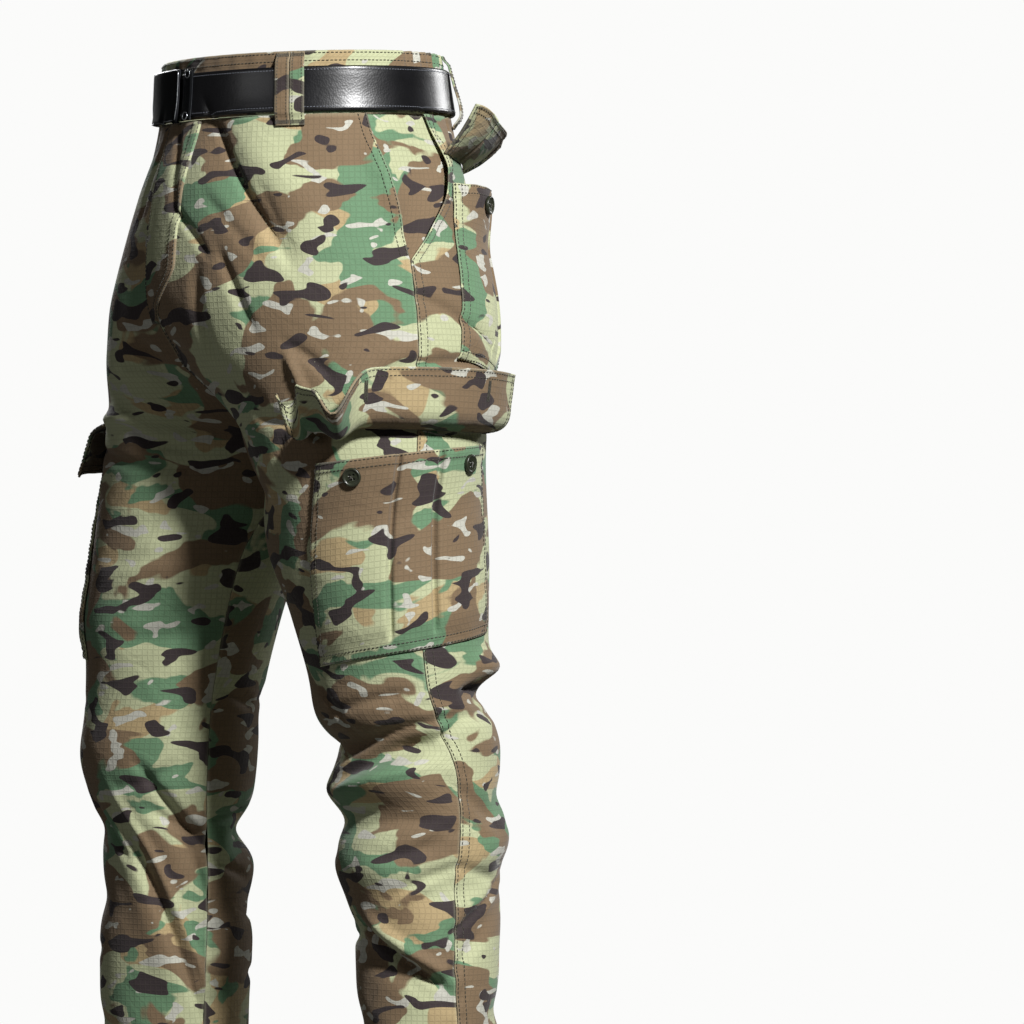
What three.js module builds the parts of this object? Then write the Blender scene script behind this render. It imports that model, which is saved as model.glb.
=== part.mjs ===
// Cargo trousers in their worn, hollow form, with the belt they carry.
// Millimetres, +Z up, front towards -Y, the garment's left side at +X.
// The origin is the centre of the waist's upper edge.
import * as THREE from 'three';

// Cloth and seam sizes
const WALL = 1.4;
const SEAM_GAP = 0.4;
const LAY = 0.9;
const FLAP_WALL = 2.0;

// Heights down from the upper edge of the waist
const CROTCH_Z = -300;
const HEM_Z = -1000;

// Belt, its buckle and the loops that hold it
const BELT_TOP = -13;
const BELT_BOTTOM = -49;
const BELT_IN = 1.4;
const BELT_OUT = 4.4;
const BUCKLE_X = [-46, 14];
const BUCKLE_Z = [-9, -52];
const CLAMP_X = [19, 31];
const CLAMP_Z = [-10.5, -51];
const WAIST_HALF_WIDTH = 136;
const WAIST_MM_PER_DEGREE = 2.25;
const LOOP_WIDTH = 12;
const LOOP_PROUD = 5.0;
const LOOP_WALL = 1.3;
const FRONT_LOOP_DEG = 145;
const BACK_LOOP_DEG = 232;
const BACK_LOOP_SLACK = 4;

// Hip pocket mouth, measured on the ring of each half
const MOUTH_BOTTOM_Z = -168;
const FACING_BOTTOM_Z = -196;
const FACING_LAP = 9;
const FACING_SINK = 2.8;
const FACING_SAG = 7.5;

// Body rings. z: height, xOut: outer side, xIn: inner side of the leg,
// gateF and gateB: how far the front and back have closed towards a leg (0 waist, 1 crotch),
// bF and bB: depth in front of and behind the leg's middle.
const RINGS = [
  { z: 0, xOut: 131, xIn: 0, gateF: 0, gateB: 0, bF: 110, bB: 106 },
  { z: -50, xOut: 137, xIn: 0, gateF: 0, gateB: 0, bF: 114, bB: 115 },
  { z: -110, xOut: 156, xIn: 0, gateF: 0.02, gateB: 0.04, bF: 130, bB: 125 },
  { z: -190, xOut: 172, xIn: 0, gateF: 0.13, gateB: 0.18, bF: 136, bB: 133 },
  { z: -235, xOut: 176, xIn: 0, gateF: 0.34, gateB: 0.40, bF: 125, bB: 125 },
  { z: -270, xOut: 179, xIn: 0, gateF: 0.70, gateB: 0.72, bF: 109, bB: 108 },
  { z: -300, xOut: 181, xIn: 0, gateF: 1, gateB: 1, bF: 100, bB: 98 },
  { z: -335, xOut: 184, xIn: 6, gateF: 1, gateB: 1, bF: 94, bB: 92 },
  { z: -400, xOut: 188, xIn: 20, gateF: 1, gateB: 1, bF: 87, bB: 87 },
  { z: -450, xOut: 190, xIn: 32, gateF: 1, gateB: 1, bF: 81, bB: 80 },
  { z: -520, xOut: 191, xIn: 47, gateF: 1, gateB: 1, bF: 74, bB: 72 },
  { z: -580, xOut: 194, xIn: 57, gateF: 1, gateB: 1, bF: 71, bB: 70 },
  { z: -640, xOut: 196, xIn: 70, gateF: 1, gateB: 1, bF: 64, bB: 64 },
  { z: -700, xOut: 200, xIn: 78, gateF: 1, gateB: 1, bF: 62, bB: 63 },
  { z: -780, xOut: 206, xIn: 88, gateF: 1, gateB: 1, bF: 60, bB: 61 },
  { z: -1000, xOut: 222, xIn: 98, gateF: 1, gateB: 1, bF: 62, bB: 62 },
];

// The stride: how far each leg's middle stands back (+) or forward (-), and what each leg's
// depth gains in front and behind
const STRIDE = [
  { z: 0, left: 0, right: 0, leftGain: 0, rightGain: 0 },
  { z: -120, left: 0, right: 0, leftGain: 0, rightGain: 0 },
  { z: -300, left: 12, right: -28, leftGain: 0, rightGain: 0 },
  { z: -400, left: 18, right: -46, leftGain: 0, rightGain: 0 },
  { z: -450, left: 23, right: -54, leftGain: -2, rightGain: 0 },
  { z: -520, left: 31, right: -60, leftGain: -6, rightGain: 0 },
  { z: -560, left: 39, right: -60, leftGain: -7, rightGain: 0 },
  { z: -600, left: 42, right: -58, leftGain: -4, rightGain: -1 },
  { z: -650, left: 41, right: -52, leftGain: -1, rightGain: -3 },
  { z: -720, left: 40, right: -49, leftGain: -6, rightGain: 2 },
  { z: -780, left: 42, right: -48, leftGain: -8, rightGain: 2 },
  { z: -1000, left: 46, right: -44, leftGain: -2, rightGain: 0 },
];

// Side seam, hip pocket mouth edges: degrees round the half ring (0 inside, 90 front,
// 180 outside, 270 back)
const SIDE_SEAM = [
  { z: 0, deg: 184 },
  { z: -168, deg: 184 },
  { z: -250, deg: 183 },
  { z: -350, deg: 176 },
  { z: -500, deg: 169 },
  { z: -540, deg: 175 },
  { z: -590, deg: 180 },
  { z: -680, deg: 176 },
  { z: -780, deg: 172 },
  { z: -1000, deg: 174 },
];
const MOUTH = [
  { z: -50, front: 175, back: 203 },
  { z: -75, front: 177, back: 208 },
  { z: -97, front: 179.5, back: 209 },
  { z: -130, front: 182, back: 200 },
  { z: -168, front: 184, back: 184 },
];

// Large folds: a straight run from a to b in (degrees, height), half width and depth
// (+ stands out, - goes in)
const FOLDS = {
  left: [
    { a: [113, -58], b: [142, -158], wide: 13, deep: -5 },
    { a: [128, -62], b: [152, -130], wide: 16, deep: 3 },
    { a: [176, -75], b: [183, -135], wide: 14, deep: 6 },
    { a: [213, -75], b: [203, -130], wide: 14, deep: 4 },
    { a: [60, -212], b: [112, -300], wide: 16, deep: -3 },
    { a: [25, -330], b: [96, -372], wide: 15, deep: -5 },
    { a: [30, -360], b: [90, -430], wide: 17, deep: 3 },
    { a: [255, -282], b: [335, -306], wide: 14, deep: -7 },
    { a: [260, -350], b: [335, -330], wide: 16, deep: -4 },
    { a: [212, -488], b: [270, -490], wide: 11, deep: 10 },
    { a: [205, -513], b: [280, -508], wide: 12, deep: -10 },
    { a: [200, -545], b: [290, -548], wide: 20, deep: 4 },
    { a: [40, -528], b: [130, -520], wide: 22, deep: 4 },
    { a: [50, -553], b: [172, -545], wide: 12, deep: -10 },
    { a: [40, -590], b: [150, -575], wide: 13, deep: 9 },
    { a: [205, -600], b: [300, -576], wide: 14, deep: -5 },
    { a: [190, -632], b: [290, -618], wide: 20, deep: 5 },
    { a: [55, -612], b: [150, -600], wide: 9, deep: -5 },
    { a: [45, -648], b: [140, -642], wide: 22, deep: 8 },
    { a: [140, -668], b: [245, -648], wide: 13, deep: -5 },
    { a: [176, -705], b: [245, -668], wide: 12, deep: -4 },
    { a: [58, -694], b: [160, -742], wide: 13, deep: -7 },
    { a: [60, -740], b: [140, -790], wide: 18, deep: 4 },
    { a: [200, -770], b: [300, -745], wide: 16, deep: -5 },
    { a: [60, -868], b: [200, -846], wide: 16, deep: -5 },
    { a: [180, -915], b: [330, -890], wide: 16, deep: -5 },
    { a: [30, -938], b: [150, -952], wide: 14, deep: -4 },
  ],
  right: [
    { a: [112, -60], b: [136, -150], wide: 14, deep: -4 },
    { a: [176, -75], b: [183, -135], wide: 14, deep: 6 },
    { a: [213, -75], b: [203, -130], wide: 14, deep: 4 },
    { a: [62, -220], b: [118, -290], wide: 16, deep: -3 },
    { a: [20, -340], b: [80, -398], wide: 16, deep: -4 },
    { a: [255, -284], b: [335, -304], wide: 14, deep: -7 },
    { a: [250, -362], b: [330, -335], wide: 16, deep: -4 },
    { a: [60, -470], b: [120, -450], wide: 24, deep: 3 },
    { a: [210, -515], b: [290, -530], wide: 13, deep: -6 },
    { a: [60, -560], b: [150, -572], wide: 26, deep: 5 },
    { a: [40, -598], b: [4, -650], wide: 13, deep: -6 },
    { a: [262, -622], b: [330, -634], wide: 17, deep: -12 },
    { a: [85, -632], b: [160, -616], wide: 14, deep: -5 },
    { a: [76, -622], b: [20, -760], wide: 15, deep: 4 },
    { a: [200, -640], b: [300, -660], wide: 16, deep: 5 },
    { a: [90, -690], b: [180, -672], wide: 15, deep: -4 },
    { a: [200, -715], b: [310, -690], wide: 14, deep: -5 },
    { a: [60, -800], b: [170, -778], wide: 15, deep: -4 },
    { a: [190, -850], b: [320, -828], wide: 16, deep: -5 },
    { a: [40, -905], b: [160, -888], wide: 15, deep: -5 },
    { a: [200, -955], b: [330, -940], wide: 14, deep: -4 },
  ],
};

// Back pocket on each half: corners in degrees and height
const BACK_POCKET = { topDeg: [209, 249], lowDeg: [203, 244], topZ: [-106, -122], lowZ: [-244, -262] };
const BACK_FLAP = { deg: [209, 252], z: [-82, -94], long: 42, rise: [20, 44], turn: [0, 1], seat: 0.8 };
const BACK_BUTTON = { u: 0.4, v: 0.1 };
const BACK_BELLY = 5;
const BACK_GAPE = 13;
const BACK_PLEATS = [0.5, 0.68];

// Cargo pocket on each half
const CARGO = { topDeg: [128, 222], lowDeg: [98, 225], topZ: [-328, -312], lowZ: [-488, -462] };
const RAISED_FLAP = { deg: [124, 228], z: [-299, -303], long: 60, rise: [12, 84], turn: [0.12, 0.5], seat: 1.1 };
const HUNG_FLAP = { deg: [122, 228], z: [-294, -288], long: 52, rise: [-24, -76], turn: [0.05, 0.45], seat: 1.3 };
const FLAP_DROOP = 18;
const DROOP_SHARE = 0.12;
const FLAP_DENT = { at: 0.19, wide: 0.065, deep: 50 };
const CARGO_BELLY = 6;
const CARGO_GAPE = { left: 10, right: 3 };
const CARGO_BUTTONS = [{ u: 0.21, v: 0.09 }, { u: 0.79, v: 0.09 }];
const PLEATS = [0.41, 0.62];
const PLEAT_DEPTH = 2.6;

// Fly
const FLY = { top: -52, bottom: -214, out: -7, wide: 40 };

// Button
const BUTTON = { radius: 7.5, thick: 3.0, rim: 1.4 };

const RAD = Math.PI / 180;

// Finishes: printed ripstop cloth, black leather, blackened metal, dark plastic
const CLOTH = { color: 0x8d8a62, roughness: 0.93, metalness: 0 };
const LEATHER = { color: 0x101012, roughness: 0.38, metalness: 0 };
const METAL = { color: 0x232427, roughness: 0.3, metalness: 0.9 };
const PLASTIC = { color: 0x23261f, roughness: 0.45, metalness: 0 };

// Smooth curve through one column of a table whose rows run downwards
function read(table, key, z) {
  const n = table.length;
  const at = Math.min(table[0].z, Math.max(table[n - 1].z, z));
  let i = 0;
  while (i < n - 2 && at < table[i + 1].z) i += 1;
  const slope = (k) => {
    const lo = Math.max(0, k - 1);
    const hi = Math.min(n - 1, k + 1);
    return (table[hi][key] - table[lo][key]) / (table[hi].z - table[lo].z);
  };
  const span = table[i + 1].z - table[i].z;
  const t = (at - table[i].z) / span;
  const h = [2 * t ** 3 - 3 * t ** 2 + 1, t ** 3 - 2 * t ** 2 + t, 3 * t ** 2 - 2 * t ** 3, t ** 3 - t ** 2];
  return h[0] * table[i][key] + h[1] * span * slope(i) + h[2] * table[i + 1][key] + h[3] * span * slope(i + 1);
}

function smooth(t) {
  const c = Math.min(1, Math.max(0, t));
  return c * c * (3 - 2 * c);
}

function clamp(v, lo, hi) {
  return Math.min(hi, Math.max(lo, v));
}

function mix(pair, t) {
  return pair[0] + (pair[1] - pair[0]) * t;
}

// Millimetres that one degree measures round the half ring at a height
function perDegree(z) {
  return 1.4 + 1.1 * smooth((z + 340) / 160);
}

// Height of the cloth's folds at a place on one half
function foldAt(half, deg, z) {
  const k = perDegree(z);
  let sum = 0;
  for (const f of FOLDS[half]) {
    const ax = (f.b[0] - f.a[0]) * k;
    const az = f.b[1] - f.a[1];
    const px = (deg - f.a[0]) * k;
    const pz = z - f.a[1];
    const t = (px * ax + pz * az) / (ax * ax + az * az);
    const away = Math.hypot(px - t * ax, pz - t * az) / f.wide;
    if (away < 3) {
      const ends = smooth((t + 0.25) / 0.5) * smooth((1.25 - t) / 0.5);
      sum += f.deep * Math.exp(-away * away) * ends;
    }
  }
  return sum;
}

// Ring measures at a height, for the front or the back
function ringAt(half, z, front) {
  const xOut = read(RINGS, 'xOut', z);
  const depth = read(RINGS, front ? 'bF' : 'bB', z) + read(STRIDE, `${half}Gain`, z);
  if (z > CROTCH_Z) {
    const gate = clamp(read(RINGS, front ? 'gateF' : 'gateB', z), 0, 1);
    const a = xOut / (1 + gate);
    return { a, cx: gate * a, b: depth, gate };
  }
  const xIn = Math.max(0, read(RINGS, 'xIn', z));
  return { a: (xOut - xIn) / 2, cx: (xOut + xIn) / 2, b: depth, gate: 1 };
}

// Outer face of the cloth on one half, on the +X side, before mirroring
function skin(half, deg, z) {
  const sn = Math.sin(deg * RAD);
  const cs = Math.cos(deg * RAD);
  const r = ringAt(half, z, sn >= 0);
  const d = foldAt(half, deg, z);
  const nx = -cs / r.a;
  const ny = -sn / r.b;
  const len = Math.hypot(nx, ny);
  const x = r.cx - r.a * cs + (nx / len) * d;
  let y = -r.b * sn + (ny / len) * d;
  const free = 1 - (1 - smooth(Math.abs(x) / 70)) * (1 - smooth((CROTCH_Z - z) / 110));
  y += read(STRIDE, half, z) * free;
  const tilt = 0.027 * y * smooth((z + 250) / 190);
  return new THREE.Vector3(x, y, z + tilt);
}

// Outward direction of the cloth there
function outward(half, deg, z) {
  const across = skin(half, deg + 0.6, z).sub(skin(half, deg - 0.6, z));
  const down = skin(half, deg, z - 1.5).sub(skin(half, deg, z + 1.5));
  return across.cross(down).normalize().negate();
}

function mirror(half, p) {
  return half === 'left' ? p : new THREE.Vector3(-p.x, p.y, p.z);
}

// A place on one half, moved out from the cloth's face
function lift(half, deg, z, out) {
  const p = skin(half, deg, z).addScaledVector(outward(half, deg, z), out);
  return mirror(half, p);
}

// The same, kept on its own side of the middle
function liftInside(half, deg, z, out) {
  const p = skin(half, deg, z).addScaledVector(outward(half, deg, z), out);
  p.x = Math.max(p.x, SEAM_GAP / 2);
  return mirror(half, p);
}

// Closed sheet from a grid of places with an outer and an inner face
function sheet(name, finish, cols, rows, place, closedRound = false) {
  const nc = cols.length;
  const nr = rows.length;
  const pos = [];
  for (const face of [0, 1]) {
    for (let j = 0; j < nr; j += 1) {
      for (let i = 0; i < nc; i += 1) {
        const p = place(cols[i], rows[j], face);
        pos.push(p.x, p.y, p.z);
      }
    }
  }
  const id = (face, j, i) => face * nc * nr + j * nc + (i % nc);
  const idx = [];
  const quad = (a, b, c, d) => idx.push(a, b, c, a, c, d);
  const last = closedRound ? nc : nc - 1;
  for (let j = 0; j < nr - 1; j += 1) {
    for (let i = 0; i < last; i += 1) {
      quad(id(0, j, i), id(0, j + 1, i), id(0, j + 1, i + 1), id(0, j, i + 1));
      quad(id(1, j, i), id(1, j, i + 1), id(1, j + 1, i + 1), id(1, j + 1, i));
    }
  }
  for (let i = 0; i < last; i += 1) {
    quad(id(0, 0, i), id(0, 0, i + 1), id(1, 0, i + 1), id(1, 0, i));
    quad(id(0, nr - 1, i), id(1, nr - 1, i), id(1, nr - 1, i + 1), id(0, nr - 1, i + 1));
  }
  if (!closedRound) {
    for (let j = 0; j < nr - 1; j += 1) {
      quad(id(0, j, 0), id(1, j, 0), id(1, j + 1, 0), id(0, j + 1, 0));
      quad(id(0, j, nc - 1), id(0, j + 1, nc - 1), id(1, j + 1, nc - 1), id(1, j, nc - 1));
    }
  }
  let volume = 0;
  const v = (k) => new THREE.Vector3(pos[3 * k], pos[3 * k + 1], pos[3 * k + 2]);
  for (let k = 0; k < idx.length; k += 3) {
    volume += v(idx[k]).dot(v(idx[k + 1]).cross(v(idx[k + 2])));
  }
  if (volume < 0) {
    for (let k = 0; k < idx.length; k += 3) {
      const keep = idx[k];
      idx[k] = idx[k + 1];
      idx[k + 1] = keep;
    }
  }
  const geometry = new THREE.BufferGeometry();
  geometry.setAttribute('position', new THREE.Float32BufferAttribute(pos, 3));
  geometry.setIndex(idx);
  geometry.computeVertexNormals();
  const mesh = new THREE.Mesh(geometry, new THREE.MeshStandardMaterial(finish));
  mesh.name = name;
  return mesh;
}

function steps(from, to, count) {
  return Array.from({ length: count + 1 }, (_, i) => from + ((to - from) * i) / count);
}

const group = new THREE.Group();
group.name = 'cargo_trousers';

// Front and back panels of each half, with the hip pocket mouth left open between them
const PANEL_TOP_Z = -50.4;
const PANEL_ROWS = [
  PANEL_TOP_Z, -75, -100, -130, -168, -195, -220, -242, -260, -275, -288, -296, -301, -312, -330, -352, -378, -408,
  -440, -470, -498, -520, -545, -565, -590, -615, -640, -665, -700, -735, -770, -805, -845, -885, -930, -970, HEM_Z,
];
const HEM_ROWS = [-970, HEM_Z];

function rimDegrees(z, front) {
  return Math.acos(ringAt('left', z, front).gate) / RAD;
}

function mouthEdge(z, side) {
  const half = SEAM_GAP / 2 / perDegree(z);
  if (z > MOUTH_BOTTOM_Z) {
    return side === 'front' ? read(MOUTH, 'front', z) - half : read(MOUTH, 'back', z) + half;
  }
  return read(SIDE_SEAM, 'deg', z) + (side === 'front' ? -half : half);
}

const PANEL_COLUMNS = 14;

function frontDegrees(u, z) {
  const from = rimDegrees(z, true) + SEAM_GAP / 2 / perDegree(z);
  return mix([from, mouthEdge(z, 'front')], u);
}

function backDegrees(u, z) {
  const to = 360 - rimDegrees(z, false) - SEAM_GAP / 2 / perDegree(z);
  return mix([mouthEdge(z, 'back'), to], u);
}

for (const half of ['left', 'right']) {
  group.add(sheet(`front_panel_${half}`, CLOTH, steps(0, 1, PANEL_COLUMNS), PANEL_ROWS, (u, z, face) => {
    return liftInside(half, frontDegrees(u, z), z, face ? -WALL : 0);
  }));
  group.add(sheet(`back_panel_${half}`, CLOTH, steps(0, 1, PANEL_COLUMNS), PANEL_ROWS, (u, z, face) => {
    return liftInside(half, backDegrees(u, z), z, face ? -WALL : 0);
  }));
}

// Facing cloth behind each hip pocket mouth, sunk below the panels
for (const half of ['left', 'right']) {
  group.add(sheet(`hip_pocket_facing_${half}`, CLOTH, steps(0, 1, 8), steps(PANEL_TOP_Z, FACING_BOTTOM_Z, 6), (u, z, face) => {
    const from = read(MOUTH, 'front', Math.max(z, MOUTH_BOTTOM_Z)) - FACING_LAP;
    const to = read(MOUTH, 'back', Math.max(z, MOUTH_BOTTOM_Z)) + FACING_LAP;
    const sink = FACING_SINK + FACING_SAG * Math.sin(Math.PI * u) * smooth((-50 - z) / 50);
    return lift(half, mix([from, to], u), z, -sink - (face ? WALL : 0));
  }));
}

// Places round the whole waist: 0 front, 90 left side, 180 back, 270 right side
function waist(turn, z, out) {
  const t = ((turn % 360) + 360) % 360;
  return t <= 180 ? lift('left', 90 + t, z, out) : lift('right', 450 - t, z, out);
}

// Waistband, drawn up by elastic behind each side
const GATHERS = 9;
const GATHER_SPAN = [104, 150];
const GATHER_DEPTH = 2.0;

function gatherAt(turn) {
  const t = turn <= 180 ? turn : 360 - turn;
  const f = (t - GATHER_SPAN[0]) / (GATHER_SPAN[1] - GATHER_SPAN[0]);
  if (f <= 0 || f >= 1) return 0;
  return -GATHER_DEPTH * (0.5 - 0.5 * Math.cos(2 * Math.PI * GATHERS * f));
}

const gathered = steps(GATHER_SPAN[0], GATHER_SPAN[1], GATHERS * 4);
const bandTurns = [
  ...steps(0.12, 92, 10), ...gathered, ...steps(160, 200, 4),
  ...gathered.map((t) => 360 - t).reverse(), ...steps(268, 359.88, 10),
];
group.add(sheet('waistband', CLOTH, bandTurns, [0, -10, -30, -50], (turn, z, face) => {
  return waist(turn, z, (face ? -2.0 : 0.5) + gatherAt(turn));
}));

// Fly: the left front laps over the right and its lower end curves to the middle
group.add(sheet('fly', CLOTH, steps(0, 1, 5), [FLY.top, -75, -100, -130, -160, -180, -195, -206, FLY.bottom], (u, z, face) => {
  const bow = 1 - smooth((-165 - z) / 52) * 0.92;
  const x = mix([FLY.out, FLY.wide * bow], u);
  const r = ringAt('left', z, true);
  const deg = Math.acos(clamp((r.cx - Math.abs(x)) / r.a, -1, 1)) / RAD;
  return lift(x < 0 ? 'right' : 'left', deg, z, LAY + (face ? 0 : 1.2));
}));

// Belt strap with its two ends hidden behind the buckle
group.add(sheet('belt', LEATHER, steps(-6, 353.4, 60), steps(BELT_TOP, BELT_BOTTOM, 2), (turn, z, face) => {
  return waist(turn, z, face ? BELT_IN : BELT_OUT);
}));

// Turn round the waist of a place that lies x from the middle of the front
function frontTurn(x) {
  return Math.asin(x / WAIST_HALF_WIDTH) / RAD;
}

// Buckle plate with a raised rim, and the clamp beside it
const buckleCols = [0, 0.03, 0.2, 0.4, 0.6, 0.8, 0.97, 1];
group.add(sheet('buckle', METAL, buckleCols, [0, 0.05, 0.5, 0.95, 1], (u, v, face) => {
  const rim = u < 0.01 || u > 0.99 || v < 0.01 || v > 0.99;
  const turn = frontTurn(mix(BUCKLE_X, u));
  return waist(turn, mix(BUCKLE_Z, v), face ? BELT_OUT + 0.5 : BELT_OUT + (rim ? 3.4 : 4.0));
}));
group.add(sheet('buckle_clamp', METAL, [0, 0.5, 1], [0, 0.06, 0.5, 0.94, 1], (u, v, face) => {
  const end = v < 0.01 || v > 0.99;
  const turn = frontTurn(mix(CLAMP_X, u));
  return waist(turn, mix(CLAMP_Z, v), face ? BELT_OUT + 0.5 : BELT_OUT + (end ? 1.6 : 2.4));
}));

// Belt loops: a strip sewn at the band's upper edge and below the belt
const LOOP_PATH = [
  { z: -1.0, out: 1.0 }, { z: -4.0, out: 1.6 }, { z: -10.0, out: LOOP_PROUD }, { z: -30.0, out: LOOP_PROUD + 0.4 },
  { z: -50.0, out: LOOP_PROUD }, { z: -55.0, out: 2.2 }, { z: -60.0, out: LAY + 0.1 },
];

function loop(name, turn, wide, slack = 0) {
  group.add(sheet(name, CLOTH, [-0.5, 0, 0.5], LOOP_PATH, (u, p, face) => {
    const off = slack * smooth((-10 - p.z) / 36) * smooth((p.z + 59.5) / 6);
    return waist(turn + (u * wide) / WAIST_MM_PER_DEGREE, p.z, p.out + off + (face ? 0 : LOOP_WALL));
  }));
}

const frontTurnOfLoop = FRONT_LOOP_DEG - 90;
const backTurnOfLoop = BACK_LOOP_DEG - 90;
loop('loop_front_left_a', frontTurnOfLoop - 2.8, LOOP_WIDTH);
loop('loop_front_left_b', frontTurnOfLoop + 2.8, LOOP_WIDTH);
loop('loop_front_right_a', 360 - frontTurnOfLoop + 2.8, LOOP_WIDTH);
loop('loop_front_right_b', 360 - frontTurnOfLoop - 2.8, LOOP_WIDTH);
loop('loop_back_left', backTurnOfLoop, LOOP_WIDTH, BACK_LOOP_SLACK);
loop('loop_back_right', 360 - backTurnOfLoop, LOOP_WIDTH, BACK_LOOP_SLACK);
loop('loop_centre_back', 180, LOOP_WIDTH);

// A patch pocket: stitched down at the sides and the bottom, its mouth standing off
function pocketPlace(spec, u, v) {
  const deg = mix([mix(spec.topDeg, u), mix(spec.lowDeg, u)], v);
  const z = mix([mix(spec.topZ, u), mix(spec.lowZ, u)], v);
  return { deg, z };
}

function pocketRise(u, v, belly, gape, pleats) {
  const across = Math.sin(Math.PI * u) ** 0.7;
  const low = smooth((1 - v) / 0.16);
  let rise = belly * across * low + gape * across * (1 - smooth(v / 0.34));
  for (const p of pleats) {
    rise -= PLEAT_DEPTH * Math.exp(-(((u - p) / 0.016) ** 2)) * low * smooth((rise - 1.5) / 2);
  }
  return LAY + Math.max(0, rise);
}

function button(name, half, spec, at, belly, gape, pleats) {
  const place = pocketPlace(spec, at.u, at.v);
  const out = pocketRise(at.u, at.v, belly, gape, pleats) + WALL + 0.3;
  const centre = lift(half, place.deg, place.z, out);
  const near = (du, dv) => {
    const q = pocketPlace(spec, at.u + du, at.v + dv);
    return lift(half, q.deg, q.z, pocketRise(at.u + du, at.v + dv, belly, gape, pleats) + WALL);
  };
  const across = near(0.03, 0).sub(near(-0.03, 0));
  const down = near(0, 0.03).sub(near(0, -0.03));
  const normal = across.cross(down).normalize();
  if (normal.dot(centre.clone().sub(lift(half, place.deg, place.z, 0))) < 0) normal.negate();
  const { radius, thick, rim } = BUTTON;
  const profile = [
    [0, 0], [radius - 1, 0], [radius, 0.8], [radius, thick - 0.8], [radius - 0.7, thick],
    [radius - rim, thick], [radius - rim - 0.6, thick - 0.8], [0, thick - 0.8],
  ].map((p) => new THREE.Vector2(p[0], p[1]));
  const geometry = new THREE.LatheGeometry(profile, 14);
  const turn = new THREE.Quaternion().setFromUnitVectors(new THREE.Vector3(0, 1, 0), normal);
  geometry.applyMatrix4(new THREE.Matrix4().compose(centre, turn, new THREE.Vector3(1, 1, 1)));
  const mesh = new THREE.Mesh(geometry, new THREE.MeshStandardMaterial(PLASTIC));
  mesh.name = name;
  group.add(mesh);
}

// A flap sewn along one edge: it leaves the cloth at its first rise and turns to the last between
// two shares of its length; its front corner droops
function flap(name, half, spec, droop, wave) {
  const rows = [0, 0.14, 0.3, 0.48, 0.72, 1];
  const columns = [0, 0.05, 0.09, 0.12, 0.155, 0.19, 0.225, 0.26, 0.31, 0.38, 0.46, 0.54, 0.63, 0.72, 0.81, 0.9, 1];
  const span = (spec.deg[1] - spec.deg[0]) * perDegree(spec.z[0]);
  const sagAt = (u) => {
    const dent = FLAP_DENT.deep * Math.exp(-(((u - FLAP_DENT.at) / FLAP_DENT.wide) ** 2));
    return droop ? droop * (1 - smooth(u / DROOP_SHARE)) + dent : 0;
  };
  group.add(sheet(name, CLOTH, columns, rows, (u, w, face) => {
    const deg = mix(spec.deg, u);
    const z = mix(spec.z, u);
    const base = lift(half, deg, z, 0);
    const normal = lift(half, deg, z, 1).sub(base);
    const up = new THREE.Vector3(0, 0, 1);
    let out = spec.seat;
    let rise = 0;
    const tiltAt = (along) => {
      const turned = smooth((along - spec.turn[0]) / (spec.turn[1] - spec.turn[0]));
      return (mix(spec.rise, turned) - sagAt(u)) * RAD;
    };
    const parts = 12;
    for (let k = 0; k < parts; k += 1) {
      const part = tiltAt((w * (k + 0.5)) / parts);
      out += (Math.cos(part) * spec.long * w) / parts;
      rise += (Math.sin(part) * spec.long * w) / parts;
    }
    const tilt = tiltAt(w);
    const steep = ((sagAt(u + 0.01) - sagAt(u - 0.01)) * RAD * spec.long * w) / (0.02 * span);
    const side = (face ? 1 : -1) * (FLAP_WALL / 2) * Math.hypot(1, steep);
    const ripple = wave * Math.sin(2.6 * Math.PI * u + 0.7) * w * w;
    out += side * -Math.sin(tilt) + ripple;
    rise += side * Math.cos(tilt);
    return base.addScaledVector(normal, out).addScaledVector(up, rise);
  }));
}

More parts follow.
